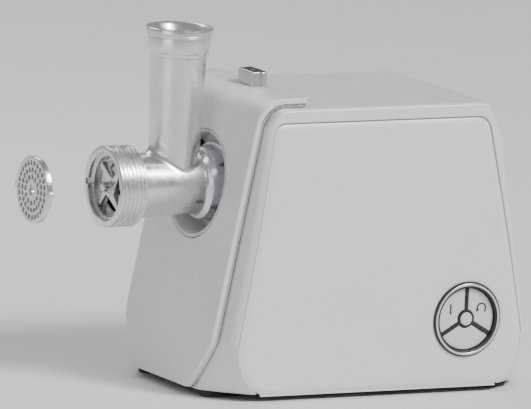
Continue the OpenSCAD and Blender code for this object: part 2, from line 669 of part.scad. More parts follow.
// Directions of the on, off and reverse keys from the switch's centre
key_at = [150, 270, 30];
module switch_bezel() color(silver) difference() {
  union() {
    rod_y(face_y - 2, face_y, bezel_r, switch_x, switch_z);
    rod_y(face_y - 0.5, -86, 26.8, switch_x, switch_z);
  }
  rod_y(-110, -60, 25.9, switch_x, switch_z);
}
module switch_divider() color(dark) {
  rod_y(-90.8, -84, 7, switch_x, switch_z);
  rod_y(-84.1, -72, 4, switch_x, switch_z);
  for (a = [90, 210, 330]) translate([switch_x, 0, switch_z]) rotate([0, -a, 0])
    block([6, 25.7], [-90.4, -85], [-1.3, 1.3]);
}
module key(dir) {
  translate([switch_x, 0, switch_z]) {
    rotate([0, -dir, 0]) rotate([90, 0, 0]) translate([0, 0, 86]) linear_extrude(3.8)
      difference() {
        circle(r = 25.5);
        circle(r = 7.5);
        for (s = [-1, 1]) rotate(60 * s) translate([-10, s > 0 ? -1.6 : -40])
          square([50, 41.6]);
        rotate(180) translate([0, -40]) square([40, 80]);
      }
    rotate([0, -dir, 0]) rod_y(-86.1, -67, 3, key_r, 0);
  }
}
module key_spring(dir) color(steel) translate([switch_x, 0, switch_z]) rotate([0, -dir, 0])
  translate([key_r, -72, 0]) rotate([90, 0, 0]) coil(4.2, 0.4, 13.9, 5);
module on_button() color(white) key(key_at[0]);
module off_button() color(white) key(key_at[1]);
module reverse_button() color(white) key(key_at[2]);
module on_spring() key_spring(key_at[0]);
module off_spring() key_spring(key_at[1]);
module reverse_spring() key_spring(key_at[2]);
board_y = -60;
module switch_housing() color(dark) difference() {
  union() {
    rod_y(-87, -70, 29.4, switch_x, switch_z);
    block([switch_x - 29, switch_x + 29], [-72, -70], [switch_z - 29, switch_z + 29]);
    for (i = [-1, 1]) for (j = [-1, 1]) rod_y(-71, board_y - 0.1, 3, switch_x + 25 * i, switch_z + 25 * j);
  }
  rod_y(-90, -72, 27, switch_x, switch_z);
  for (k = key_at) translate([switch_x, 0, switch_z]) rotate([0, -k, 0]) rod_y(-80, -60, 3.4, key_r, 0);
}
module control_board() color([0.1, 0.35, 0.2]) difference() {
  block([switch_x - 29, switch_x + 29], [board_y, board_y + 1.6], [switch_z - 29, switch_z + 29]);
  for (i = [-1, 1]) for (j = [-1, 1]) rod_y(-70, -50, 1.5, switch_x + 25 * i, switch_z + 25 * j);
}
module contact_switches() color(dark) for (k = key_at) translate([switch_x, 0, switch_z])
  rotate([0, -k, 0]) {
    block([key_r - 3, key_r + 3], [board_y - 4, board_y], [-3, 3]);
    rod_y(board_y - 4.8, board_y - 4, 1.7, key_r, 0);
  }

front_cover();
front_trim();
right_housing();
left_housing();
right_panel();
left_panel();
base_plate();
rubber_feet();
base_screws();
cord_gland();
terminal_block();
socket_ring();
latch_guide();
lock_button();
lock_latch();
lock_spring();
grinder_head();
head_bush();
auger();
cutting_blade();
cutting_plate();
gearbox_housing();
gearbox_cover();
gearbox_screws();
gear_pins();
output_bush();
shaft_seal();
output_shaft();
output_gear();
second_idler_gear();
first_idler_gear();
motor_pinion();
motor_shaft();
rotor_core();
rotor_windings();
commutator();
motor_fan();
stator_core();
field_coils();
motor_front_bracket();
motor_rear_bracket();
motor_bearings();
motor_bolts();
brush_holders();
carbon_brushes();
switch_housing();
switch_bezel();
switch_divider();
on_button();
off_button();
reverse_button();
on_spring();
off_spring();
reverse_spring();
control_board();
contact_switches();
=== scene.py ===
"""The looks of an electric meat grinder: shells, cast head, perforated plate and round switch, as finished
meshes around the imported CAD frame. Lengths are in millimetres until a mesh is made."""

import json
import math

import bmesh
import bpy
import numpy as np
from mathutils import Matrix, Vector
from mathutils.geometry import delaunay_2d_cdt


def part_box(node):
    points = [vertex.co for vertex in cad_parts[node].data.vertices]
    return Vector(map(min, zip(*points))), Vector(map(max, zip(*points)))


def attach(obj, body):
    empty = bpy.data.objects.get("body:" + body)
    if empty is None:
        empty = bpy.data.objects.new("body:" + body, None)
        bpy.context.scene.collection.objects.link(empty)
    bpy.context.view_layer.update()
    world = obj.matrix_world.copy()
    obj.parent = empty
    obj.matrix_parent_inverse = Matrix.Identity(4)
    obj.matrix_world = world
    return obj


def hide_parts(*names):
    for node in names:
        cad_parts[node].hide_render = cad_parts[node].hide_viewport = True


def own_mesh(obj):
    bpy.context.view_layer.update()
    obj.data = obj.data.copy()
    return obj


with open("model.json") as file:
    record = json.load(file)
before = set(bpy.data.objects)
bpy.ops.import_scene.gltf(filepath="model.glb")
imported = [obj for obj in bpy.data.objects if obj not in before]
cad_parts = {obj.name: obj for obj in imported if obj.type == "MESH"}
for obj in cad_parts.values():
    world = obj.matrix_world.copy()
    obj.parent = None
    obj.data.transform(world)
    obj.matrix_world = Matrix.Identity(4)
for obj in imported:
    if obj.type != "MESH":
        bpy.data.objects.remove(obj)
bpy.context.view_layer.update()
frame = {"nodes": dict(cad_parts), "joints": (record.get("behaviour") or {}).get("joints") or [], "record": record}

MM = 0.001


# ---- sizes read from the frame ------------------------------------------------------
def box_mm(node):
    """Lowest and highest corner of a CAD node, in millimetres"""
    low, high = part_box(node)
    return low / MM, high / MM


def named(rows, name):
    """The joint or mount of that name"""
    return next(row for row in rows if row["name"] == name)


cover_lo, cover_hi = box_mm("front_cover")
housing_lo, housing_hi = box_mm("right_housing")
button_lo, button_hi = box_mm("lock_button")
bezel_lo, bezel_hi = box_mm("switch_bezel")
key_lo, key_hi = box_mm("on_button")
divider_lo, divider_hi = box_mm("switch_divider")
head_lo, head_hi = box_mm("grinder_head")
plate_lo, plate_hi = box_mm("cutting_plate")
blade_lo, blade_hi = box_mm("cutting_blade")
auger_lo, auger_hi = box_mm("auger")
gland_lo, gland_hi = box_mm("cord_gland")

BARREL_Z = named(frame["joints"], "worm_spin")["pos_m"][2] / MM
COVER_Z = cover_hi.z
COVER_W = cover_hi.y
FOOT_Z = cover_lo.z
ROOF_Z = housing_hi.z
BODY_Z = housing_lo.z
SIDE_W = -housing_lo.y
SOCKET_R = box_mm("socket_ring")[1].y
SWITCH = Vector(((bezel_lo.x + bezel_hi.x) / 2, (bezel_lo.z + bezel_hi.z) / 2))
BEZEL_R = (bezel_hi.x - bezel_lo.x) / 2

# ---- the body's outline, the same formulas as the CAD source ---------------------------
FRONT_SLOPE = 0.18
REAR_SLOPE = 0.17
KNEE_Z = 48
COVER_FOOT_W = 50
COVER_R = 27
COVER_EDGE = 4.5
HOUSING_INSET = COVER_Z - ROOF_Z
COVER_BACK_X = -3
COVER_BACK_R = 900
REAR_TOP_X = 168.6
REAR_ROUND = 16
ROOF_ROLL = 3
FRONT_CORNER = 22
REAR_CORNER = 26
LEAN = math.atan(FRONT_SLOPE)


def lookup(z, table):
    """Straight-line interpolation in a table of (z, value)"""
    return float(np.interp(z, [row[0] for row in table], [row[1] for row in table]))


def front_x(z):
    """The cover's straight front face at height z"""
    return -52.6 - FRONT_SLOPE * (236 - z)


ARC_X = front_x(COVER_Z - COVER_R) + COVER_R / math.cos(LEAN)
ARC_Z = COVER_Z - COVER_R
# Arc lengths along the cover's profile, from its foot: where the straight front and the arc end
FRONT_END = (ARC_Z + COVER_R * math.sin(LEAN) - FOOT_Z) / math.cos(LEAN)
ARC_END = FRONT_END + COVER_R * (math.pi / 2 - LEAN)


def cover_at(s, depth=0.0):
    """Point (x, z) of the cover's profile at arc length s, at a depth under its face"""
    if s <= FRONT_END:
        z = FOOT_Z + s * math.cos(LEAN)
        return front_x(z) + depth * math.cos(LEAN), z - depth * math.sin(LEAN)
    if s <= ARC_END:
        angle = math.pi - LEAN - (s - FRONT_END) / COVER_R
        r = COVER_R - depth
        return ARC_X + r * math.cos(angle), ARC_Z + r * math.sin(angle)
    return ARC_X + s - ARC_END, COVER_Z - depth


def cover_s(x):
    """Arc length at a place x on the cover's top"""
    if x >= ARC_X:
        return ARC_END + x - ARC_X
    return ARC_END - COVER_R * math.asin((ARC_X - x) / COVER_R)


def side_at(z):
    """Half width of the side wall at height z, with the roll into the roof"""
    table = [[0, -2], [6, -1.5], [14, -0.2], [22, 0], [96, 0], [123, -0.8], [150, -2.3], [190, -5.5],
             [216, -8], [ROOF_Z, -10.4]]
    y = SIDE_W + lookup(z, table)
    over = max(0.0, z - ROOF_Z + ROOF_ROLL) / ROOF_ROLL
    return y - ROOF_ROLL * (1 - math.sqrt(max(0.0, 1 - over * over)))


def front_w_at(z):
    """Half width of the housing's front end, behind the cover"""
    return lookup(z, [[BODY_Z, COVER_FOOT_W + 2], [KNEE_Z, COVER_W + 1.5], [ROOF_Z, COVER_W + 1.5]])


def rear_w_at(z):
    """Half width of the housing's flat rear"""
    return lookup(z, [[BODY_Z, 58], [KNEE_Z, 71], [190, 71], [ROOF_Z, 66]])


def panel_front_at(z):
    """Where the flat side wall begins, which is the side panel's front edge"""
    return lookup(z, [[BODY_Z, -46], [10, -54], [20, -63], [34, -68.5], [50, -69], [224, -40]])


def panel_rear_at(z):
    """Where the flat side wall ends"""
    return lookup(z, [[BODY_Z, 170], [10, 177], [20, 185], [34, 190.5], [50, 191], [224, 154]])


def corner_power(z):
    """How square the wall's corners are: 1 is round, and more is flatter"""
    return lookup(z, [[BODY_Z, 1.7], [KNEE_Z - 4, 1.5], [KNEE_Z, 1]])


def housing_front_at(z):
    """Front face of the housing shells, which follows the cover's profile from the inside"""
    straight = front_x(z) + HOUSING_INSET / math.cos(LEAN)
    r = COVER_R - HOUSING_INSET
    if z < ARC_Z + r * math.sin(LEAN):
        return straight
    return ARC_X - math.sqrt(max(0.0, r * r - (z - ARC_Z) ** 2))


def housing_rear_at(z):
    """Rear face of the housing, with its round edge into the roof"""
    over = max(0.0, z - ROOF_Z + REAR_ROUND)
    bulge = REAR_ROUND - math.sqrt(max(0.0, REAR_ROUND ** 2 - over ** 2))
    return REAR_TOP_X + REAR_SLOPE * (ROOF_Z - z) - bulge


def wall_at(u, z):
    """Point (x, y) of the housing's wall: u is x along the side, and runs on round both corners"""
    y, xf, xr = side_at(z), housing_front_at(z), housing_rear_at(z)
    wf, wr = front_w_at(z), rear_w_at(z)
    xp = max(panel_front_at(z), xf + 3)
    xq = min(panel_rear_at(z), xr - 4)
    power = corner_power(z)
    if u < xp:
        t = (xp - u) / FRONT_CORNER
        if t > 1:
            return xf, -wf + (t - 1) * FRONT_CORNER
        a = math.pi / 2 * (1 - t)
        return xp - (xp - xf) * math.cos(a) ** power, -wf - (y - wf) * math.sin(a) ** power
    if u > xq:
        t = (u - xq) / REAR_CORNER
        if t > 1:
            return xr, -wr + (t - 1) * REAR_CORNER
        a = math.pi / 2 * t
        return xq + (xr - xq) * math.sin(a) ** power, -wr - (y - wr) * math.cos(a) ** power
    return u, -y


# ---- flat outlines --------------------------------------------------------------------
def rounded(corners, longest=4.0):
    """A closed outline through (x, y, radius) corners, in pieces no longer than longest"""
    points = []
    count = len(corners)
    for i, (x, y, r) in enumerate(corners):
        p = Vector((x, y))
        a = (Vector(corners[i - 1][:2]) - p).normalized()
        b = (Vector(corners[(i + 1) % count][:2]) - p).normalized()
        if r <= 0:
            points.append(p)
            continue
        half = a.angle(b) / 2
        centre = p + (a + b).normalized() * (r / math.sin(half))
        start = p + a * (r / math.tan(half)) - centre
        end = p + b * (r / math.tan(half)) - centre
        sweep = math.remainder(math.atan2(end.y, end.x) - math.atan2(start.y, start.x), 2 * math.pi)
        steps = max(3, math.ceil(abs(sweep) / math.radians(9)))
        for k in range(steps + 1):
            angle = math.atan2(start.y, start.x) + sweep * k / steps
            points.append(centre + r * Vector((math.cos(angle), math.sin(angle))))
    return divided(points, longest)


def divided(points, longest):
    """The closed outline with its long edges cut into equal pieces"""
    out = []
    for i, p in enumerate(points):
        q = points[(i + 1) % len(points)]
        pieces = max(1, math.ceil((q - p).length / longest))
        if (q - p).length > 1e-4:
            out += [p.lerp(q, k / pieces) for k in range(pieces)]
    return out


def circle(x, y, r, count):
    turns = [2 * math.pi * k / count for k in range(count)]
    return [Vector((x + r * math.cos(t), y + r * math.sin(t))) for t in turns]


def arc(r, start, end, count):
    """(x, y, 0) corners along an arc round the origin"""
    return [(r * math.cos(t), r * math.sin(t), 0) for t in np.linspace(start, end, count)]


def rectangle(x0, x1, y0, y1, r):
    return [(x0, y0, r), (x1, y0, r), (x1, y1, r), (x0, y1, r)]


def spun(corners, turn):
    """(x, y, radius) corners turned round the origin"""
    c, s = math.cos(turn), math.sin(turn)
    return [(x * c - y * s, x * s + y * c, r) for x, y, r in corners]


def signed_area(loop):
    return sum(p.x * q.y - q.x * p.y for p, q in zip(loop, loop[1:] + loop[:1])) / 2


def turned(loops):
    """The first loop anticlockwise and the holes clockwise, so the material is on every loop's left"""
    out = []
    for i, loop in enumerate(loops):
        backwards = (signed_area(loop) > 0) != (i == 0)
        out.append(loop[::-1] if backwards else list(loop))
    return out


def inset(loop, distance):
    """The loop moved into the material on its left"""
    out = []
    for i, p in enumerate(loop):
        a = (p - loop[i - 1]).normalized()
        b = (loop[(i + 1) % len(loop)] - p).normalized()
        side = Vector((-a.y, a.x))
        middle = Vector((-a.y - b.y, a.x + b.x)).normalized()
        out.append(p + middle * distance / max(0.5, middle.dot(side)))
    return out


def inside(points, loops):
    """Which points lie in the first loop and in none of the others"""
    points = np.array([tuple(p) for p in points]).reshape(-1, 2)
    hits = np.zeros(len(points), int)
    for loop in loops:
        a = np.array([tuple(p) for p in loop])
        b = np.roll(a, -1, axis=0)
        crosses = (a[None, :, 1] > points[:, None, 1]) != (b[None, :, 1] > points[:, None, 1])
        rise = np.where(b[:, 1] == a[:, 1], 1.0, b[:, 1] - a[:, 1])
        at = a[:, 0] + (points[:, None, 1] - a[:, 1]) * (b[:, 0] - a[:, 0]) / rise
        hits += (crosses & (points[:, None, 0] < at)).sum(axis=1)
    return hits % 2 == 1


def inner_points(loops, spacing, rows=None):
    """Points in staggered rows over the area between the loops, clear of their edges"""
    outline = np.array([tuple(p) for p in loops[0]])
    low, high = outline.min(0), outline.max(0)
    if rows is None:
        rows = np.arange(low[1] + spacing / 2, high[1], spacing * 0.87)
    grid = []
    shift, previous = 0.0, -1e9
    for v in rows:
        if v - previous > spacing / 4:
            shift = spacing / 2 - shift
        previous = v
        grid += [(u, v) for u in np.arange(low[0] + shift, high[0], spacing)]
    grid = np.array(grid).reshape(-1, 2)
    grid = grid[inside(grid, loops)]
    edge = np.array([tuple(p) for loop in loops for p in loop])
    keep = [np.hypot(*(edge - g).T).min() > spacing * 0.45 for g in grid]
    return [Vector(g) for g in grid[np.array(keep, bool)]] if len(grid) else []


def filled(loops, inner):
    """Triangles over the area between the loops; corners are numbered loops first, then inner points"""
    points = [Vector(p) for loop in loops for p in loop] + inner
    edges = []
    first = 0
    for loop in loops:
        count = len(loop)
        edges += [(first + k, first + (k + 1) % count) for k in range(count)]
        first += count
    out, _, faces, origin, _, _ = delaunay_2d_cdt(points, edges, [], 0, 1e-6)
    centres = [(out[a] + out[b] + out[c]) / 3 for a, b, c in faces]
    wanted = inside(centres, loops)
    source = [o[0] if o else -1 for o in origin]
    faces = [[source[i] for i in f] for f, w in zip(faces, wanted) if w]
    return points, [f for f in faces if min(f) >= 0]


# ---- meshes ---------------------------------------------------------------------------
def smooth_mesh(mesh, angle=32):
    mesh.shade_smooth()
    mesh.set_sharp_from_angle(angle=math.radians(angle))


def new_object(name, points, faces, angle=32, merge=0.002):
    """A mesh object from points in millimetres; loose doubles are merged and normals turned outwards"""
    mesh = bpy.data.meshes.new(name)
    mesh.from_pydata([Vector(p) * MM for p in points], [], faces)
    bm = bmesh.new()
    bm.from_mesh(mesh)
    bmesh.ops.remove_doubles(bm, verts=bm.verts, dist=merge * MM)
    bmesh.ops.dissolve_degenerate(bm, edges=bm.edges, dist=merge * MM / 2)
    bmesh.ops.recalc_face_normals(bm, faces=bm.faces)
    bm.to_mesh(mesh)
    bm.free()
    smooth_mesh(mesh, angle)
    piece = bpy.data.objects.new(name, mesh)
    bpy.context.scene.collection.objects.link(piece)
    return piece


def apply_modifiers(piece, angle=32):
    """The piece's modifiers become its mesh"""
    graph = bpy.context.evaluated_depsgraph_get()
    mesh = bpy.data.meshes.new_from_object(piece.evaluated_get(graph))
    piece.modifiers.clear()
    piece.data = mesh
    smooth_mesh(mesh, angle)


def combine(piece, other, operation):
    """Boolean of two closed pieces; the second one is used up"""
    step = piece.modifiers.new("combine", "BOOLEAN")
    step.operation = operation
    step.solver = "EXACT"
    step.object = other
    apply_modifiers(piece)
    bpy.data.objects.remove(other)
    return piece


def joined(name, pieces, angle=32):
    """Several pieces as one object; they are used up"""
    bm = bmesh.new()
    for piece in pieces:
        bm.from_mesh(piece.data)
    mesh = bpy.data.meshes.new(name)
    bm.to_mesh(mesh)
    bm.free()
    smooth_mesh(mesh, angle)
    whole = bpy.data.objects.new(name, mesh)
    for piece in pieces:
        bpy.data.objects.remove(piece)
    bpy.context.scene.collection.objects.link(whole)
    return whole


def round_edge(r, steps=4):
    """(inset, depth) steps from the face down round an edge of radius r"""
    turns = [math.pi / 2 * k / steps for k in range(steps + 1)]
    return [(r * (1 - math.sin(t)), r * (1 - math.cos(t))) for t in turns]


def sheet(name, loops, place, face, back, spacing=4.0, rows=None, angle=32):
    """A closed sheet. loops are its outline and holes; face and back list (inset, depth) steps from the
    front face's edge outwards and from the back face's edge outwards; place(u, v, depth) gives the point"""
    loops = turned(loops)
    steps = list(face) + list(back)[::-1]
    rings = [[inset(loop, step) for loop in loops] for step, _ in steps]
    points, faces = [], []

    def add_face(ring_loops, depth, flip):
        inner = inner_points(ring_loops, spacing, rows)
        flat, triangles = filled(ring_loops, inner)
        start = len(points)
        points.extend(place(p.x, p.y, depth) for p in flat)
        for tri in triangles:
            shifted = [start + i for i in tri]
            faces.append(shifted[::-1] if flip else shifted)
        return start

    front = add_face(rings[0], steps[0][1], False)
    rear = add_face(rings[-1], steps[-1][1], True)
    offset = 0
    for i, loop in enumerate(loops):
        count = len(loop)
        previous = [front + offset + k for k in range(count)]
        for ring, (_, depth) in zip(rings[1:-1], steps[1:-1]):
            start = len(points)
            points.extend(place(p.x, p.y, depth) for p in ring[i])
            current = list(range(start, start + count))
            add_strip(faces, previous, current)
            previous = current
        add_strip(faces, previous, [rear + offset + k for k in range(count)])
        offset += count
    return new_object(name, points, faces, angle)


def add_strip(faces, first, second):
    """Four-sided faces between two closed rows of corners"""
    count = len(first)
    for k in range(count):
        m = (k + 1) % count
        faces.append([first[k], second[k], second[m], first[m]])


# A point at h along an axis, and at a and b along the other two
AXIS_PLACE = {
    "x": lambda h, a, b: (h, a, b),
    "y": lambda h, a, b: (a, h, b),
    "z": lambda h, a, b: (a, b, h),
}


def lathe(name, rows, count, axis, centre, angle=32):
    """A closed solid of revolution. rows are (r, h), or functions of the turn that give them; centre is
    (y, z) round an X axis, (x, z) round a Y axis or (x, y) round a Z axis. A row at r 0 closes an end"""
    points, faces = [], []
    for row in rows:
        for k in range(count):
            turn = 2 * math.pi * k / count
            r, h = row(turn) if callable(row) else row
            a = centre[0] + r * math.cos(turn)
            b = centre[1] + r * math.sin(turn)
            points.append(AXIS_PLACE[axis](h, a, b))
    for j in range(len(rows)):
        following = (j + 1) % len(rows)
        both_closed = all(not callable(rows[i]) and rows[i][0] == 0 for i in (j, following))
        if not both_closed:
            add_strip(faces, range(j * count, (j + 1) * count),
                      range(following * count, (following + 1) * count))
    return new_object(name, points, faces, angle)


def softened(profile, r):
    """A closed (r, h) profile with its corners rounded"""
    return [(p.x, p.y) for p in rounded([(*p, r) for p in profile], longest=1e9)]


def block(name, low, high):
    """A plain box"""
    corners = [(x, y, z) for x in (low[0], high[0]) for y in (low[1], high[1]) for z in (low[2], high[2])]
    faces = [(0, 1, 3, 2), (4, 6, 7, 5), (0, 4, 5, 1), (2, 3, 7, 6), (0, 2, 6, 4), (1, 5, 7, 3)]
    return new_object(name, corners, faces)


def sector(name, r, x, side, half_z):
    """A claw: part of a ring round the barrel's axis, between radii r and places x, on one side"""
    reach = [math.asin(half_z / q) for q in r]
    outline = arc(r[0], -reach[0], reach[0], 9) + arc(r[1], reach[1], -reach[1], 9)
    thick = x[1] - x[0]
    return sheet(name, [rounded(outline, 2.0)], lambda u, v, d: Vector((x[0] + d, side * u, BARREL_Z + v)),
                 round_edge(0.5, 2), [(0.5, thick), (0, thick - 0.5)], 2.5)


def on_disc(start):
    """Places a flat point across the barrel's axis, at a depth behind the place x = start"""
    return lambda u, v, d: Vector((start + d, u, BARREL_Z + v))


# ---- materials ------------------------------------------------------------------------
class Look:
    """A procedural material: a Principled shader with noise driven colour, roughness and bump"""

    def __init__(self, name, colour, roughness, metallic=0.0, coat=0.0):
        self.material = bpy.data.materials.new(name)
        self.material.use_nodes = True
        self.nodes = self.material.node_tree.nodes
        self.links = self.material.node_tree.links
        self.shader = self.nodes["Principled BSDF"]
        self.colour = colour
        settings = {"Base Color": (*colour, 1), "Roughness": roughness, "Metallic": metallic, "IOR": 1.45,
                    "Coat Weight": coat, "Coat Roughness": 0.12}
        for socket, value in settings.items():
            self.shader.inputs[socket].default_value = value
        self.place = self.nodes.new("ShaderNodeTexCoord").outputs["Object"]
        self.last_bump = None

    def add(self, kind, settings):
        """A new node with those values on its sockets"""
        node = self.nodes.new("ShaderNode" + kind)
        for socket, value in settings.items():
            node.inputs[socket].default_value = value
        return node

    def stretched(self, scale):
        """Object coordinates scaled along the axes, which draws noise out into streaks"""
        node = self.add("Mapping", {"Scale": scale})
        self.links.new(self.place, node.inputs["Vector"])
        return node.outputs["Vector"]

    def noise(self, per_mm, detail=3.0, rough=0.5, stretch=None):
        node = self.add("TexNoise", {"Scale": per_mm / MM, "Detail": detail, "Roughness": rough})
        self.links.new(self.stretched(stretch) if stretch else self.place, node.inputs["Vector"])
        return node.outputs["Fac"]

    def ranged(self, source, low, high, start=0.3, end=0.7):
        node = self.add("MapRange", {"From Min": start, "From Max": end, "To Min": low, "To Max": high})
        self.links.new(source, node.inputs["Value"])
        return node.outputs["Result"]

    def vary_roughness(self, source, low, high):
        self.links.new(self.ranged(source, low, high), self.shader.inputs["Roughness"])

    def vary_colour(self, source, other, start=0.35, end=0.65):
        node = self.nodes.new("ShaderNodeMix")
        node.data_type = "RGBA"
        node.inputs["A"].default_value = (*self.colour, 1)
        node.inputs["B"].default_value = (*other, 1)
        self.links.new(self.ranged(source, 0.0, 1.0, start, end), node.inputs["Factor"])
        self.links.new(node.outputs["Result"], self.shader.inputs["Base Color"])

    def raise_by(self, source, height_mm):
        """Bump whose full swing is height_mm"""
        node = self.add("Bump", {"Strength": 1.0, "Distance": height_mm * MM})
        self.links.new(source, node.inputs["Height"])
        if self.last_bump:
            self.links.new(self.last_bump, node.inputs["Normal"])
        self.last_bump = node.outputs["Normal"]
        self.links.new(self.last_bump, self.shader.inputs["Normal"])


def white_plastic(name, colour):
    """Moulded ABS with a satin gloss, a faint ripple and a fine spark-eroded grain"""
    look = Look(name, colour, 0.3, coat=0.25)
    look.vary_colour(look.noise(0.012, 4.0), [c * 0.955 for c in colour])
    look.vary_roughness(look.noise(0.05, 5.0), 0.24, 0.36)
    look.raise_by(look.noise(0.05, 2.0), 0.05)
    look.raise_by(look.noise(1.6, 2.0), 0.006)
    return look.material


def dark_plastic(name, colour, roughness=0.55):
    """Fine grained moulded plastic"""
    look = Look(name, colour, roughness)
    look.vary_colour(look.noise(0.05, 4.0), [min(1.0, c * 1.35 + 0.004) for c in colour])
    look.vary_roughness(look.noise(0.3, 4.0), roughness - 0.08, roughness + 0.1)
    look.raise_by(look.noise(2.2, 3.0), 0.02)
    return look.material


def brushed_metal(name, colour, roughness, streak, grain_mm=0.003):
    """Metal with fine streaks; streak scales the axes, small along the brushing"""
    look = Look(name, colour, roughness, metallic=1.0)
    streaks = look.noise(0.9, 4.0, stretch=streak)
    look.vary_roughness(streaks, roughness - 0.07, roughness + 0.1)
    look.vary_colour(look.noise(0.03, 4.0), [c * 0.93 for c in colour])
    look.raise_by(streaks, grain_mm)
    return look.material


def cast_metal(name, colour):
    """Polished casting: soft waves left by the buff, a few pits, duller in patches"""
    look = Look(name, colour, 0.27, metallic=1.0)
    look.vary_colour(look.noise(0.03, 5.0), [c * 0.9 for c in colour])
    look.vary_roughness(look.noise(0.12, 6.0, 0.6), 0.2, 0.36)
    look.raise_by(look.noise(0.045, 2.0), 0.1)
    look.raise_by(look.noise(0.9, 3.0), 0.006)
    return look.material


def rubber(name):
    """Matt black rubber"""
    look = Look(name, (0.03, 0.03, 0.032), 0.75)
    look.vary_colour(look.noise(0.2, 4.0), (0.055, 0.055, 0.056))
    look.vary_roughness(look.noise(0.6, 3.0), 0.65, 0.85)
    look.raise_by(look.noise(1.5, 4.0), 0.03)
    return look.material


def plain_look(slot):
    """A material from the record's own class and colour, for the parts inside"""
    colour = slot["base_color"][:3]
    name = slot["slot"] + "_look"
    if slot["class"] in ("brushed_steel", "chrome", "aluminium", "brass", "cast_iron"):
        return brushed_metal(name, colour, 0.36, (1.0, 1.0, 0.1), 0.004)
    if slot["class"] == "rubber":
        return rubber(name)
    return dark_plastic(name, colour, 0.5)


SHELL = white_plastic("shell_look", (0.8, 0.8, 0.785))
PANEL = white_plastic("panel_look", (0.83, 0.83, 0.815))
KEY = white_plastic("key_look", (0.74, 0.74, 0.73))
TRIM = brushed_metal("trim_look", (0.66, 0.67, 0.69), 0.26, (1.0, 1.0, 0.12))
CAST = cast_metal("cast_look", (0.8, 0.81, 0.82))
GROUND = brushed_metal("ground_look", (0.72, 0.725, 0.73), 0.24, (1.0, 0.12, 1.0))
SOCKET = dark_plastic("socket_look", (0.5, 0.51, 0.52), 0.42)
BLACK = dark_plastic("black_look", (0.02, 0.02, 0.022), 0.45)
WORM = cast_metal("worm_look", (0.7, 0.71, 0.72))
BAND = brushed_metal("band_look", (0.78, 0.79, 0.8), 0.22, (1.0, 1.0, 1.0), 0.001)
INK = dark_plastic("ink_look", (0.03, 0.03, 0.035), 0.6)
RUBBER = rubber("rubber_look")


def finish_piece(piece, material, body, slot, *nodes):
    """Gives a piece its material and its body, and hides the CAD nodes that it stands for; slot is not used"""
    piece.data.materials.clear()
    piece.data.materials.append(material)
    for face in piece.data.polygons:
        face.material_index = 0
    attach(piece, body)
    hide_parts(*nodes)
    return piece


# ---- front cover and trim ----------------------------------------------------------------
def cover_outline():
    """Outline of the cover in (y, arc length), with its arched rear edge"""
    knee = (KNEE_Z - FOOT_Z) / math.cos(LEAN)
    sag = COVER_BACK_R - math.sqrt(COVER_BACK_R ** 2 - COVER_W ** 2)
    rear = [(y, cover_s(COVER_BACK_X - (COVER_BACK_R - math.sqrt(COVER_BACK_R ** 2 - y ** 2))))
            for y in np.linspace(COVER_W - 14, -COVER_W + 14, 13)]
    corner = cover_s(COVER_BACK_X - sag)
    return rounded(
        [(-COVER_FOOT_W, 0, 9), (COVER_FOOT_W, 0, 9), (COVER_W, knee, 26), (COVER_W, corner, 9)]
        + [(y, s, 0) for y, s in rear]
        + [(-COVER_W, corner, 9), (-COVER_W, knee, 26)], 3.0)


def on_cover(y, s, depth):
    """Places a flat point of the cover, y across and s along its profile, at a depth under its face"""
    x, z = cover_at(s, depth)
    return Vector((x, y, z))


def front_cover():
    """The arched cover, with its holes for the socket and the lock button"""
    hole = [Vector((p.x, (p.y - FOOT_Z) / math.cos(LEAN))) for p in circle(0, BARREL_Z, SOCKET_R + 0.4, 96)]
    play = 0.4
    slot_w = button_hi.y + play
    slot = rectangle(-slot_w, slot_w, cover_s(button_lo.x - play), cover_s(button_hi.x + play), 1.5)
    piece = sheet("cover_shell", [cover_outline(), hole, rounded(slot, 2.0)], on_cover,
                  round_edge(1.3), [(0.4, COVER_EDGE), (0, COVER_EDGE - 0.4)], 3.4)
    finish_piece(piece, SHELL, "frame", "shell", "front_cover")


TRIM_GAP = 0.5


def front_trim():
    """The metal strip behind the cover, set in a little, between two shadow gaps"""
    outline = turned([cover_outline()])[0]
    outer, inner = inset(outline, 0.9), inset(outline, 5)
    start, end = COVER_EDGE + TRIM_GAP, HOUSING_INSET - TRIM_GAP
    face = [(step, start + drop) for step, drop in round_edge(0.4, 2)]
    piece = sheet("trim_strip", [outer, inner], on_cover, face, [(0.4, end), (0, end - 0.4)], 3.0)
    finish_piece(piece, TRIM, "frame", "trim", "front_trim")


# ---- housing shells and side panels ---------------------------------------------------------
PANEL_KNEE = (-69, 191, 50)         # the panel's widest place: front x, rear x and z
PANEL_TOP = (-40.7, 155.6, 225)     # the same at its top
SEAM = 1.4
PARTING = 0.15
WALL_THICK = 2.4
WALL_STEP = 4.2
WALL_ANGLE = 28


def panel_outline(g=0.0):
    """Outline of the side panel in (x, z), grown by g"""
    lower_front = [(-46 - g, BODY_Z - g, 0), (-54 - g, 10, 6), (-63 - g, 20, 10), (-68.5 - g, 34, 14)]
    lower_rear = [(190.5 + g, 34, 14), (185 + g, 20, 10), (177 + g, 10, 6), (170 + g, BODY_Z - g, 0)]
    upper = [(PANEL_KNEE[0] - g, PANEL_KNEE[2], 12), (PANEL_TOP[0] - g, PANEL_TOP[2] + g, 11 + g),
             (PANEL_TOP[1] + g, PANEL_TOP[2] + g, 11 + g), (PANEL_KNEE[1] + g, PANEL_KNEE[2], 12)]
    return rounded(lower_front + upper + lower_rear, 3.0)


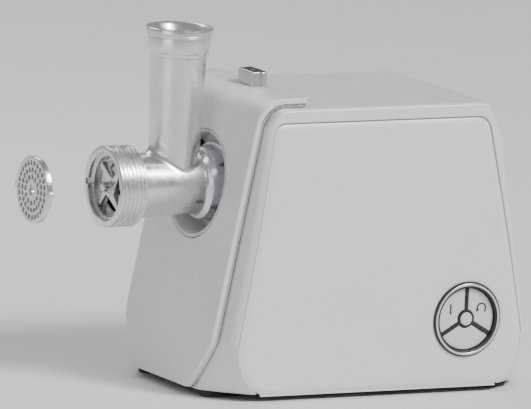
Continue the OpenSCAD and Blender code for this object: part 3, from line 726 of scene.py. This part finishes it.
def ledge_outline(far, near):
    """An arch along the panel's sides and top, from far outside its outline to near"""
    out = []
    for g, corner_r in ((far, 12), (near, 9)):
        side = [(PANEL_KNEE[0] - g, PANEL_KNEE[2], 0), (PANEL_TOP[0] - g, PANEL_TOP[2] + g, corner_r),
                (PANEL_TOP[1] + g, PANEL_TOP[2] + g, corner_r), (PANEL_KNEE[1] + g, PANEL_KNEE[2], 0)]
        out += side if g == far else side[::-1]
    return rounded(out, 3.0)


def wall_point(side, u, z, depth):
    """A point under the wall's face: side is 1 for the switch's side and -1 for the other"""
    x, y = wall_at(u, z)
    return Vector((x, side * (y + depth), z))


# Heights of the rows of points on the wall, and on its round edge into the roof
WALL_ROWS = [8, 10, 12, 14.5, 17, 20, 24, 28, 31, 34, 38, 41, 44, 46, KNEE_Z - 0.7, KNEE_Z, KNEE_Z + 0.7]
WALL_ROWS += list(np.arange(51, 222, 3.4))
ROLL_ROWS = [ROOF_Z - ROOF_ROLL + ROOF_ROLL * math.sin(math.radians(t)) for t in range(0, 86, 12)]


def crease(z):
    """Depth of the fine crease round the housing where its lower corners start"""
    return 0.4 * max(0.0, 1 - abs(z - KNEE_Z) / 0.7)


def wall_domain():
    """Outline of one housing shell's wall in (u, z), front edge to the parting plane at the rear"""
    levels = [BODY_Z, 9, 14, 20, 28, 34, 41, 44, 48, 60] + list(np.arange(70, 216, 8)) + ROLL_ROWS + [ROOF_Z]
    front, rear = [], []
    for z in levels:
        xf, xr = housing_front_at(z), housing_rear_at(z)
        front.append(Vector((max(panel_front_at(z), xf + 3) - FRONT_CORNER * 1.5, z)))
        rear.append(Vector((min(panel_rear_at(z), xr - 4) + REAR_CORNER + rear_w_at(z) - PARTING, z)))
    return divided(front[::-1] + rear, 4.0)


def housing(side, name, node):
    """One half of the housing: the wall round its corners with the panel's opening, and half of the roof"""
    loops = turned([wall_domain(), panel_outline(SEAM)])
    # the rounded top edge is a grid under the wall's own top corners
    roll = [Vector((p.x, z)) for z in ROLL_ROWS for p in loops[0] if abs(p.y - ROOF_Z) < 1e-4]
    roll = [p for p, hit in zip(roll, inside(roll, loops[:1])) if hit]
    flat, triangles = filled(loops, inner_points(loops, WALL_STEP, WALL_ROWS) + roll)
    points = [wall_point(side, p.x, p.y, crease(p.y)) for p in flat]
    # the roof is filled from the wall's own top edge, so that both share its corners
    top = [i for i, p in enumerate(flat) if abs(p.y - ROOF_Z) < 1e-4]
    top.sort(key=lambda i: flat[i].x)
    edge = [Vector((points[i].x, -side * points[i].y)) for i in top]
    slot_x, slot_y = button_hi.x + 1.5, button_hi.y + 1.5
    closing = [(slot_x, PARTING), (slot_x, slot_y), (edge[0].x, slot_y)]
    roof_loop = turned([edge + [Vector(p) for p in closing]])[0]
    roof_flat, roof_triangles = filled([roof_loop], inner_points([roof_loop], 5.0))
    start = len(points)
    points += [Vector((p.x, -side * p.y, ROOF_Z)) for p in roof_flat]
    faces = triangles + [[start + i for i in tri] for tri in roof_triangles]
    wall = new_object(name + "_wall", points, faces, WALL_ANGLE, merge=0.01)
    thick = wall.modifiers.new("wall", "SOLIDIFY")
    thick.thickness = WALL_THICK * MM
    thick.offset = -1
    apply_modifiers(wall, WALL_ANGLE)
    # a ledge behind the seam, just under the wall and the panel's edge
    ledge = sheet(name + "_ledge", [ledge_outline(SEAM + 0.6, -2.0)], lambda u, z, d: wall_point(side, u, z, d),
                  [(0, WALL_THICK + 0.2)], [(0, WALL_THICK + 1.4)], WALL_STEP, WALL_ROWS, WALL_ANGLE)
    piece = joined(name, [wall, ledge], WALL_ANGLE)
    finish_piece(piece, SHELL, "frame", "shell", node)


def side_panel(side, name, node, holes):
    """The raised panel: a broad bevel runs round it inside the seam, and its edge is undercut"""
    proud = 0.7
    bevel = [(4.2, 0), (3.8, 0.08), (0.5, 1.2), (0.1, 1.4), (0, 1.6)]
    undercut = [(1.6, 3.2), (1.6, 2.1), (0.1, 2.1)]
    piece = sheet(name, [panel_outline()] + holes, lambda u, z, d: wall_point(side, u, z, d - proud),
                  bevel, undercut, WALL_STEP, WALL_ROWS, 12)
    finish_piece(piece, PANEL, "frame", "side_panel", node)


# ---- grinding head ---------------------------------------------------------------------
TUBE_X = named(frame["record"]["mounts"], "feed_tube")["pos_m"][0] / MM
TUBE_TOP = head_hi.z
MOUTH_X = head_lo.x
SEAT_X = MOUTH_X + 5.2
COLLAR_R = 33
COLLAR_LEN = 23.6
THREAD_PITCH = 3.7
THREAD_DEPTH = 1.6
TUBE_BORE = 19
PLATE_R = 27
NECK_X = -71.5


def smoothstep(t):
    """0 below 0, 1 above 1, and a soft rise between"""
    t = min(1.0, max(0.0, t))
    return t * t * (3 - 2 * t)


def barrel_radius(x):
    """The barrel tapers a little from the collar to the neck"""
    return float(np.interp(x, [MOUTH_X + COLLAR_LEN + 1.6, -68], [26.7, 24.2]))


def thread_row(x):
    """One row of the collar's thread, a helix that runs out at both ends"""
    fade = smoothstep((x - MOUTH_X - 0.9) / 1.6) * smoothstep((MOUTH_X + COLLAR_LEN - 0.8 - x) / 1.6)

    def row(turn):
        phase = ((x - MOUTH_X) / THREAD_PITCH - turn / (2 * math.pi)) % 1
        groove = smoothstep(phase / 0.26) * smoothstep((0.72 - phase) / 0.26)
        return COLLAR_R - THREAD_DEPTH * groove * fade, x
    return row


def barrel_casting():
    """The barrel with its threaded collar at the mouth and the bayonet flange at its neck"""
    thread = [thread_row(x) for x in np.arange(MOUTH_X + 0.9, MOUTH_X + COLLAR_LEN - 0.6, 0.3)]
    end = MOUTH_X + COLLAR_LEN
    rows = [(0, MOUTH_X), (COLLAR_R - 0.9, MOUTH_X), (COLLAR_R - 0.25, MOUTH_X + 0.25),
            (COLLAR_R, MOUTH_X + 0.8)] + thread
    rows += [(COLLAR_R, end - 0.5), (COLLAR_R - 0.5, end), (28.6, end + 0.15), (27.3, end + 0.7), (26.7, end + 2)]
    rows += [(barrel_radius(x), x) for x in np.linspace(end + 4, NECK_X, 14)]
    rows += [(24.5, -69.6), (25.3, -68.2), (26.6, -67.2), (28.4, -66.8), (28.9, -66.4), (29.1, -65.6),
             (30, -54.2), (30.3, -53.4), (31, -53), (32.5, -52.9), (33, -52.4), (33, -48.4), (32.6, -48), (0, -48)]
    return lathe("head_casting", rows, 160, "x", (0, BARREL_Z))


def tube_radius(z):
    """The feed tube widens a little upwards"""
    return float(np.interp(z, [BARREL_Z, BARREL_Z + 28, TUBE_TOP - 23.6], [20.8, 20.9, 23]))


def junction_rows():
    """Rows of the feed tube's foot, which runs into the barrel with a cast fillet"""
    fillet = 8.0

    def at(t):
        def row(turn):
            big = barrel_radius(TUBE_X + tube_radius(BARREL_Z) * math.cos(turn))
            r = tube_radius(BARREL_Z + 20)
            across = r * math.sin(turn)
            joint_z = BARREL_Z + math.sqrt(big ** 2 - across ** 2)
            fall = math.atan(r * math.sin(turn) ** 2 / math.sqrt(big ** 2 - across ** 2))
            reach = fillet * math.tan((math.pi / 2 - fall) / 2)
            low = (r + reach * math.cos(fall), joint_z - reach * math.sin(fall) - 0.3)
            high = (r, joint_z + reach)
            corner = (r, joint_z)
            if t < 0:
                return low[0] - 2.5, low[1] - 4
            return tuple((1 - t) ** 2 * a + 2 * t * (1 - t) * b + t * t * c for a, b, c in zip(low, corner, high))
        return row
    return [at(t) for t in [-1] + list(np.linspace(0, 1, 9))]


def tube_casting():
    """The feed tube with its band, groove and rolled rim"""
    top = TUBE_TOP
    rows = [(0, BARREL_Z + 2)] + junction_rows()
    rows += [(tube_radius(z), z) for z in np.linspace(BARREL_Z + 42, top - 23.8, 14)]
    rows += [(23.35, top - 23.5), (23.8, top - 23), (23.8, top - 20.6), (23.95, top - 20.1), (24.5, top - 19.8),
             (24.85, top - 19.3), (25.1, top - 15), (25.5, top - 8.4), (25.4, top - 7.9), (25.0, top - 7.6),
             (25.0, top - 7.1), (25.6, top - 6.9), (26.2, top - 6.4), (26.3, top - 5.1), (26.0, top - 4.6),
             (26.1, top - 4.2), (26.9, top - 4), (27.4, top - 3.4), (27.4, top - 0.9), (27.2, top - 0.35),
             (26.7, top), (0, top)]
    return lathe("feed_tube", rows, 160, "z", (TUBE_X, 0))


def grinder_head():
    """The casting: barrel and tube as one, then its bores, the plate's notches and the bayonet's lugs"""
    piece = combine(barrel_casting(), tube_casting(), "UNION")
    seat = PLATE_R + 0.4
    bore_rows = [(0, MOUTH_X - 1), (seat + 1.8, MOUTH_X - 1), (seat + 0.8, MOUTH_X), (seat, MOUTH_X + 0.8),
                 (seat, SEAT_X), (25, SEAT_X), (25, MOUTH_X + 12), (21.5, MOUTH_X + 12.6), (21.5, -66),
                 (12, -65.9), (12, -57), (26, -57), (26, -40), (0, -40)]
    bores = lathe("bore", bore_rows, 128, "x", (0, BARREL_Z))
    combine(piece, bores, "DIFFERENCE")
    top = TUBE_TOP
    shaft = lathe("shaft", [(0, BARREL_Z), (TUBE_BORE - 0.4, BARREL_Z), (TUBE_BORE, 196), (TUBE_BORE, top - 8.3),
                            (19.15, top - 7.2), (19.7, top - 5.6), (22.1, top - 1.4), (22.9, top - 0.5),
                            (23.9, top + 0.02), (24.5, top + 1), (0, top + 1)], 160, "z", (TUBE_X, 0))
    combine(piece, shaft, "DIFFERENCE")
    for name, low, high in (("notch", (MOUTH_X - 1, -30.2, -2.4), (SEAT_X, 30.2, 2.4)),
                            ("lock_notch", (-53.6, -4.4, -34), (-47, 4.4, -29))):
        raised = [(x, y, BARREL_Z + z) for x, y, z in (low, high)]
        combine(piece, block(name, *raised), "DIFFERENCE")
    lugs = [sector("lug", (31.5, head_hi.y), (-52, -48.4), side, 9) for side in (-1, 1)]
    head = joined("grinder_casting", [piece] + lugs, 34)
    finish_piece(head, CAST, "frame", "cast_aluminium", "grinder_head")


FLIGHT_PITCH = 21
FLIGHT_R = 20.7
CORE_R = 9.5


def worm_row(x, first, last):
    """One row of the worm: a flight thick at its root and thin at its rim"""
    fade = smoothstep((x - first + 3) / 3.4) * smoothstep((last + 3 - x) / 3.4)

    def row(turn):
        along = ((x - first) / FLIGHT_PITCH - turn / (2 * math.pi) + 0.5) % 1 - 0.5
        side = (3.6 - abs(along) * FLIGHT_PITCH) / 2.1
        return CORE_R + (FLIGHT_R - CORE_R) * min(1.0, max(0.0, side)) ** 1.25 * fade, x
    return row


def worm():
    """The feed screw, with its pin for the plate, the blade's square and its journal"""
    first, last = blade_lo.x + 10.1, NECK_X
    start = blade_lo.x + 6.1
    pin = 3.95
    rows = [(0, auger_lo.x), (pin - 0.9, auger_lo.x), (pin - 0.2, auger_lo.x + 0.4), (pin, auger_lo.x + 1),
            (pin, start), (CORE_R - 0.5, start), (CORE_R, start + 0.5)]
    rows += [worm_row(x, first, last) for x in np.arange(start + 0.8, -67.8, 0.5)]
    rows += [(CORE_R, -67.5), (CORE_R - 0.5, -67), (8, -67), (8, -57), (5.6, -57), (5.6, auger_hi.x),
             (0, auger_hi.x)]
    piece = lathe("worm_screw", rows, 120, "x", (0, BARREL_Z), 30)
    square = block("worm_square", (blade_lo.x + 0.1, -4.6, BARREL_Z - 4.6), (start + 0.3, 4.6, BARREL_Z + 4.6))
    both = joined("worm_casting", [piece, square], 30)
    finish_piece(both, WORM, "worm", "worm_aluminium", "auger")


def blade():
    """Four-armed blade, each arm with a straight cutting edge and a swept back"""
    hub_r, hub_turn = 9.0, math.radians(64)
    arm = [(8.9, -1.5, 1.5), (23.8, -1.5, 0.3), (23.4, 2.0, 0.5), (14, 4.6, 8), (6.2, 6.8, 2),
           (hub_r * math.cos(hub_turn), hub_r * math.sin(hub_turn), 3)]
    corners = [corner for k in range(4) for corner in spun(arm, math.radians(45 + 90 * k))]
    hole = rounded(rectangle(-4.7, 4.7, -4.7, 4.7, 0.5), 2.0)
    thick = blade_hi.x - blade_lo.x
    piece = sheet("cross_blade", [rounded(corners, 1.5), hole], on_disc(blade_lo.x),
                  round_edge(0.35, 2), [(0.35, thick), (0, thick - 0.35)], 2.0)
    finish_piece(piece, GROUND, "worm", "stainless", "cutting_blade")


def perforated_plate():
    """The cutting plate with its three rings of holes and two locating lugs"""
    lug = plate_hi.y
    start = math.asin(2.1 / PLATE_R)
    half = arc(PLATE_R, start, math.pi - start, 70) + [(-lug, 2, 0.7), (-lug, -2, 0.7)]
    corners = half + [(-x, -y, r) for x, y, r in half]
    holes = [circle(0, 0, 4.0, 40)]
    for ring, count in ((10.8, 12), (16.3, 20), (22, 26)):
        for k in range(count):
            turn = 2 * math.pi * k / count
            holes.append(circle(ring * math.cos(turn), ring * math.sin(turn), 1.9, 20))
    thick = plate_hi.x - plate_lo.x
    piece = sheet("perforated_disc", [rounded(corners, 2.5)] + holes, on_disc(plate_lo.x),
                  round_edge(0.35, 2), [(0.35, thick), (0, thick - 0.35)], 2.6)
    finish_piece(piece, GROUND, "plate", "stainless", "cutting_plate")


# ---- socket, lock button, switch, feet, gland -------------------------------------------------
def socket():
    """The recess in the cover: a rim that follows the leaning face, a floor, two claws and four ribs"""
    inner, floor = SOCKET_R - 2.6, -47

    def lip(r, proud):
        return lambda turn: (r, front_x(BARREL_Z + r * math.sin(turn)) + proud)
    rows = [(SOCKET_R, -43), lip(SOCKET_R, 1.0), lip(SOCKET_R - 0.25, 0.5), lip(SOCKET_R - 0.7, 0.35),
            lip(inner + 0.7, 0.35), lip(inner + 0.25, 0.5), lip(inner, 1.0), (inner, floor - 1.2),
            (inner - 0.35, floor - 0.35), (inner - 1.2, floor), (16.4, floor), (16, floor + 0.4), (16, -43)]
    ring = lathe("socket_bowl", rows, 144, "x", (0, BARREL_Z))
    claws = [sector("claw", (34.2, inner + 0.4), (-56.6, -52.8), side, 9) for side in (-1, 1)]
    bowl = joined("socket_dish", [ring] + claws)
    combine(bowl, block("tooth_slot", (-60, -5, 126), (-40, 5, 138)), "DIFFERENCE")
    finish_piece(bowl, SOCKET, "frame", "socket", "socket_ring")
    for k in range(4):
        turn = math.radians(45 + 90 * k)
        out = Vector((0, math.cos(turn), math.sin(turn)))
        across = Vector((0, -math.sin(turn), math.cos(turn))) * 1.8
        mouth = front_x(BARREL_Z + inner * out.z) + 2.5
        flat = [(inner + 0.3, floor + 0.4), (34.6, floor + 0.4), (34.6, floor - 2), (inner + 0.3, mouth)]
        points = [Vector((x, 0, BARREL_Z)) + out * r + across * s for s in (-1, 1) for r, x in flat]
        rib = new_object(f"socket_rib_{k + 1}", points, [(0, 1, 2, 3), (7, 6, 5, 4)]
                         + [(i, i + 4, (i + 1) % 4 + 4, (i + 1) % 4) for i in range(4)])
        finish_piece(rib, BLACK, "frame", "socket", "socket_ring")


def lock_button():
    """The release button, narrower in front, with a ribbed pad on top"""
    front, rear = button_lo.x, button_hi.x
    w = button_hi.y
    top, deep = button_hi.z, button_hi.z - button_lo.z
    half = [(front, -w + 1.1, 1.5), (front + 7, -w + 1.1, 0.8), (front + 8.6, -w, 0.8), (rear, -w, 2.6)]
    outline = rounded(half + [(x, -y, r) for x, y, r in half[::-1]], 1.6)
    cap = sheet("lock_cap", [outline], lambda u, v, d: Vector((u, v, top - d)),
                round_edge(1.2), [(0, deep)], 2.0)
    finish_piece(cap, TRIM, "lock", "trim", "lock_button")
    middle = (front + rear) / 2
    pad_edge = inset(turned([outline])[0], 1.7)
    ellipse = [Vector((middle + 2.3 * p.x, 4.6 * p.y)) for p in circle(0, 0, 1, 36)]

    def on_pad(u, v, d):
        rib = 0.22 * math.cos(2 * math.pi * v / 2.2)
        return Vector((u, v, top + 0.28 + rib * (1 if d < 0.2 else 0) - d))
    pad = sheet("lock_pad", [pad_edge, ellipse], on_pad, [(0.25, 0), (0, 0.15)], [(0, 0.6)], 0.62, None, 50)
    finish_piece(pad, BLACK, "lock", "dark_plastic", "lock_button")


def in_switch(depth_at):
    """Places a flat point of the switch, u to the rear and v up, at a depth behind its face"""
    return lambda u, v, d: Vector((SWITCH.x + u, depth_at(u, v) + d, SWITCH.y + v))


def bezel():
    """The switch's ring, with a bright band let into its face"""
    face, back = bezel_lo.y, bezel_hi.y
    rows = softened([(25.9, back), (25.9, face + 0.5), (26.9, face), (BEZEL_R - 0.9, face), (BEZEL_R, face + 1.2),
                     (BEZEL_R, face + 2), (26.8, face + 2), (26.8, back)], 0.25)
    finish_piece(lathe("bezel_ring", rows, 144, "y", SWITCH), BLACK, "frame", "dark_plastic", "switch_bezel")
    bright = softened([(27.6, face + 0.4), (27.6, face - 0.02), (28.0, face - 0.22), (29.1, face - 0.22),
                       (29.5, face - 0.02), (29.5, face + 0.4)], 0.1)
    finish_piece(lathe("bezel_band", bright, 144, "y", SWITCH), BAND, "frame", "trim", "switch_bezel")


def spokes():
    """The divider between the keys: three spokes, its stem behind and the cap on its hub"""
    spoke = [(7.1, -1.3, 1.2), (25.7, -1.3, 0.2), (25.7, 1.3, 0.2), (7.1, 1.3, 1.2)]
    spoke += arc(7, math.radians(30), math.radians(90), 9)
    corners = [corner for angle in (90, 210, 330) for corner in spun(spoke, math.radians(angle))]
    face = divider_lo.y + 0.2
    spider = sheet("switch_spider", [rounded(corners, 1.5)], in_switch(lambda u, v: face),
                   round_edge(0.3, 2), [(0, 5.6)], 2.0)
    finish_piece(spider, BLACK, "frame", "dark_plastic", "switch_divider")
    stem_rows = [(0, face + 5), (4, face + 5), (4, divider_hi.y), (0, divider_hi.y)]
    stem = lathe("switch_stem", stem_rows, 40, "y", SWITCH)
    finish_piece(stem, BLACK, "frame", "dark_plastic", "switch_divider")
    cap = lathe("switch_hub", [(0, face - 0.75), (2, face - 0.7), (3.6, face - 0.55), (4.8, face - 0.3),
                               (5.3, face - 0.05), (5.4, face + 0.3), (0, face + 0.3)], 72, "y", SWITCH, 50)
    finish_piece(cap, KEY, "frame", "keys", "switch_divider")


def key(name, node, body, direction):
    """One third of the round switch, gently dished, with its plunger behind"""
    edge, outer, inner = 1.6, 25.4, 7.6
    far = math.radians(60) - math.asin(edge / outer)
    near = math.radians(60) - math.asin(edge / inner)
    turn = math.radians(direction)
    corners = spun(arc(outer, -far, far, 40) + arc(inner, near, -near, 10), turn)
    face = key_lo.y
    middle = Vector((math.cos(turn), math.sin(turn))) * 16.5

    def dished(u, v):
        away = (Vector((u, v)) - middle).length
        return face + 0.55 * max(0.0, 1 - (away / 9.5) ** 2)
    cap = sheet(name, [rounded(corners, 1.6)], in_switch(dished), round_edge(0.7, 3), [(0, 3.8)], 1.8)
    end = key_hi.y
    plunger = lathe("plunger", [(0, face + 3.6), (3, face + 3.6), (3, end - 0.4), (2.6, end), (0, end)],
                    32, "y", SWITCH + middle)
    both = joined(name, [cap, plunger])
    finish_piece(both, KEY, body, "keys", node)
    return middle, dished


def spring(node, axis, wire, turns, material):
    """A compression spring, coiled in its CAD node's box"""
    lo, hi = box_mm(node)
    middle = (lo + hi) / 2
    across = (middle.x, middle.y) if axis == "z" else (middle.x, middle.z)
    start, end = (lo.z, hi.z) if axis == "z" else (lo.y, hi.y)
    r = (hi.x - lo.x) / 2 - wire
    sides, steps = 8, 28 * turns
    points = []
    for i in range(steps + 1):
        t = i / steps
        turn = 2 * math.pi * turns * t
        h = start + wire + (end - start - 2 * wire) * (0.6 * t + 0.4 * smoothstep(t))
        for k in range(sides):
            round_wire = 2 * math.pi * k / sides
            out = r + wire * math.cos(round_wire)
            points.append(AXIS_PLACE[axis](h + wire * math.sin(round_wire), across[0] + out * math.cos(turn),
                                           across[1] + out * math.sin(turn)))
    faces = [list(range(sides)), list(range(steps * sides, (steps + 1) * sides))]
    for i in range(steps):
        row = [i * sides + k for k in range(sides)]
        add_strip(faces, row, [k + sides for k in row])
    piece = finish_piece(new_object("coil_" + node, points, faces, 50), material, "frame", "steel", node)
    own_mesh(piece)


def springs(material):
    """The lock button's spring and one behind each key"""
    spring("lock_spring", "z", 0.5, 5, material)
    for key_name in ("on", "off", "reverse"):
        spring(key_name + "_spring", "y", 0.4, 6, material)


def mark(name, body, node, outline, dished):
    """A symbol that stands a little proud of its key"""
    piece = sheet(name, [outline], in_switch(lambda u, v: dished(u, v) - 0.06), [(0, 0)], [(0, 0.2)], 0.8)
    finish_piece(piece, INK, body, "dark_plastic", node)


def switch_keys():
    """Three keys: a bar marks the one for on and a return arrow the one for reverse"""
    middle, dished = key("key_on", "on_button", "on_key", 150)
    bar = rounded(rectangle(-0.8, 0.8, -4.2, 4.2, 0.3), 1.5)
    mark("mark_on", "on_key", "on_button", [p + middle for p in bar], dished)
    key("key_off", "off_button", "off_key", 270)
    middle, dished = key("key_reverse", "reverse_button", "reverse_key", 30)
    start, end = math.radians(-50), math.radians(190)
    head = [(-5.9, -0.7, 0), (-3.75, -3.5, 0), (-1.9, -0.5, 0)]
    arrow = arc(4.6, start, end, 30) + head + arc(3.2, end, start, 30)
    mark("mark_reverse", "reverse_key", "reverse_button", [Vector(p[:2]) + middle for p in arrow], dished)


def feet():
    """Four oblong rubber feet with a groove round each"""
    foot_lo, foot_hi = box_mm("rubber_feet")
    long, wide = 18, 8
    face = round_edge(1.0, 3) + [(0, 2.4), (0.6, 2.7), (0.6, 3.3), (0, 3.6)]
    pieces = []
    for x, y in ((foot_lo.x + long, 52), (foot_hi.x - long, foot_hi.y - wide)):
        for side in (-1, 1):
            oblong = rectangle(x - long, x + long, side * y - wide, side * y + wide, wide - 0.01)
            pieces.append(sheet("foot", [rounded(oblong, 3.0)], lambda u, v, d: Vector((u, v, d)),
                                face, [(0, BODY_Z)], 4.0))
    pads = joined("feet_pads", pieces)
    finish_piece(pads, RUBBER, "frame", "rubber", "rubber_feet")


def gland():
    """The mains lead's strain relief, ribbed so that it bends"""
    start, end = gland_lo.x, gland_hi.x
    y, z = (gland_lo.y + gland_hi.y) / 2, (gland_lo.z + gland_hi.z) / 2
    wall = start + 4.3
    rows = [(3.6, start), (8, start), (8, start + 1), (10.6, start + 1), (11, start + 1.4), (11, wall - 0.4),
            (10.6, wall), (8, wall + 0.1)]
    outside = housing_rear_at(z)
    for k in range(4):
        x = outside + 1.6 + 3.1 * k
        rows += [(8, x), (6.9, x + 0.35), (6.9, x + 1.05), (8, x + 1.4)]
    rows += [(8, end - 0.8), (7.2, end), (4.4, end), (3.6, end - 0.8)]
    finish_piece(lathe("gland_sleeve", rows, 64, "x", (y, z)), BLACK, "frame", "dark_plastic", "cord_gland")


# ---- stage, light and camera ---------------------------------------------------------------
def stage():
    """A plain pale floor and an even sky"""
    mesh = bpy.data.meshes.new("floor")
    mesh.from_pydata(rectangle(-30, 30, -30, 30, 0), [], [(0, 1, 2, 3)])
    floor = bpy.data.objects.new("floor", mesh)
    bpy.context.scene.collection.objects.link(floor)
    look = Look("floor_look", (0.86, 0.86, 0.86), 0.6)
    look.vary_roughness(look.noise(0.004, 3.0), 0.55, 0.65)
    mesh.materials.append(look.material)
    world = bpy.data.worlds.new("studio")
    bpy.context.scene.world = world
    world.use_nodes = True
    sky = world.node_tree.nodes["Background"]
    sky.inputs["Color"].default_value = (0.93, 0.94, 0.95, 1)
    sky.inputs["Strength"].default_value = 0.36


def placed(name, data, place, turn):
    """An object for a light or the camera, which looks down its own -Z"""
    holder = bpy.data.objects.new(name, data)
    holder.location = place
    holder.rotation_mode = "QUATERNION"
    holder.rotation_quaternion = turn
    bpy.context.scene.collection.objects.link(holder)
    return holder


def area_light(name, place, size, power):
    """A soft window, turned towards the middle of the grinder"""
    light = bpy.data.lights.new(name, "AREA")
    light.shape = "RECTANGLE"
    light.size, light.size_y = size
    light.energy = power
    turn = (Vector((0, 0, 0.12)) - Vector(place)).to_track_quat("-Z", "Y")
    placed(name, light, place, turn).visible_camera = False


def sun(name, place, power, width):
    """A soft distant light that shines from the direction of place; width is in degrees"""
    light = bpy.data.lights.new(name, "SUN")
    light.energy = power
    light.angle = math.radians(width)
    placed(name, light, (0, 0, 0), (-Vector(place)).to_track_quat("-Z", "Y"))


def lights():
    sun("key", (0.75, -1.1, 1.35), 2.5, 16)
    area_light("front_window", (0.35, -1.3, 1.3), (0.6, 0.5), 6)
    area_light("fill", (-1.4, -0.5, 0.5), (0.8, 0.9), 3)
    area_light("back", (-0.1, 1.2, 1.3), (1.2, 0.5), 8)


def camera():
    """The picture's view: from 29 degrees round to the left, 10 degrees up, leaning 3 degrees, and from so far
    that it is nearly a parallel view"""
    azimuth, elevation, roll = math.radians(-29.13), math.radians(9.7), math.radians(-2.94)
    distance = 10
    aim = Vector((-0.0017, 0, 0.1448))
    data = bpy.data.cameras.new("camera")
    data.sensor_width = 36
    data.lens = 835.9
    data.clip_end = 100
    back = Vector((math.sin(azimuth) * math.cos(elevation), -math.cos(azimuth) * math.cos(elevation),
                   math.sin(elevation)))
    turn = (-back).to_track_quat("-Z", "Y") @ Matrix.Rotation(-roll, 4, "Z").to_quaternion()
    bpy.context.scene.camera = placed("camera", data, aim + back * distance, turn)


def cad_materials():
    """Procedural materials for the CAD nodes that stay"""
    slots = {m["slot"]: m for m in frame["record"]["materials"]}
    slot_of = {s["node"]: s["material_slot"] for s in frame["record"]["subparts"]}
    looks = {slot: plain_look(entry) for slot, entry in slots.items()}
    for name, node in frame["nodes"].items():
        for holder in node.material_slots:
            holder.material = looks[slot_of[name]]
    return looks


camera()
stage()
lights()
looks = cad_materials()
front_cover()
front_trim()
housing(1, "housing_right", "right_housing")
housing(-1, "housing_left", "left_housing")
switch_hole = circle(SWITCH.x, SWITCH.y, 27, 72)
side_panel(1, "panel_right", "right_panel", [switch_hole])
side_panel(-1, "panel_left", "left_panel", [])
grinder_head()
worm()
blade()
perforated_plate()
socket()
lock_button()
bezel()
spokes()
switch_keys()
feet()
gland()
springs(looks["steel"])
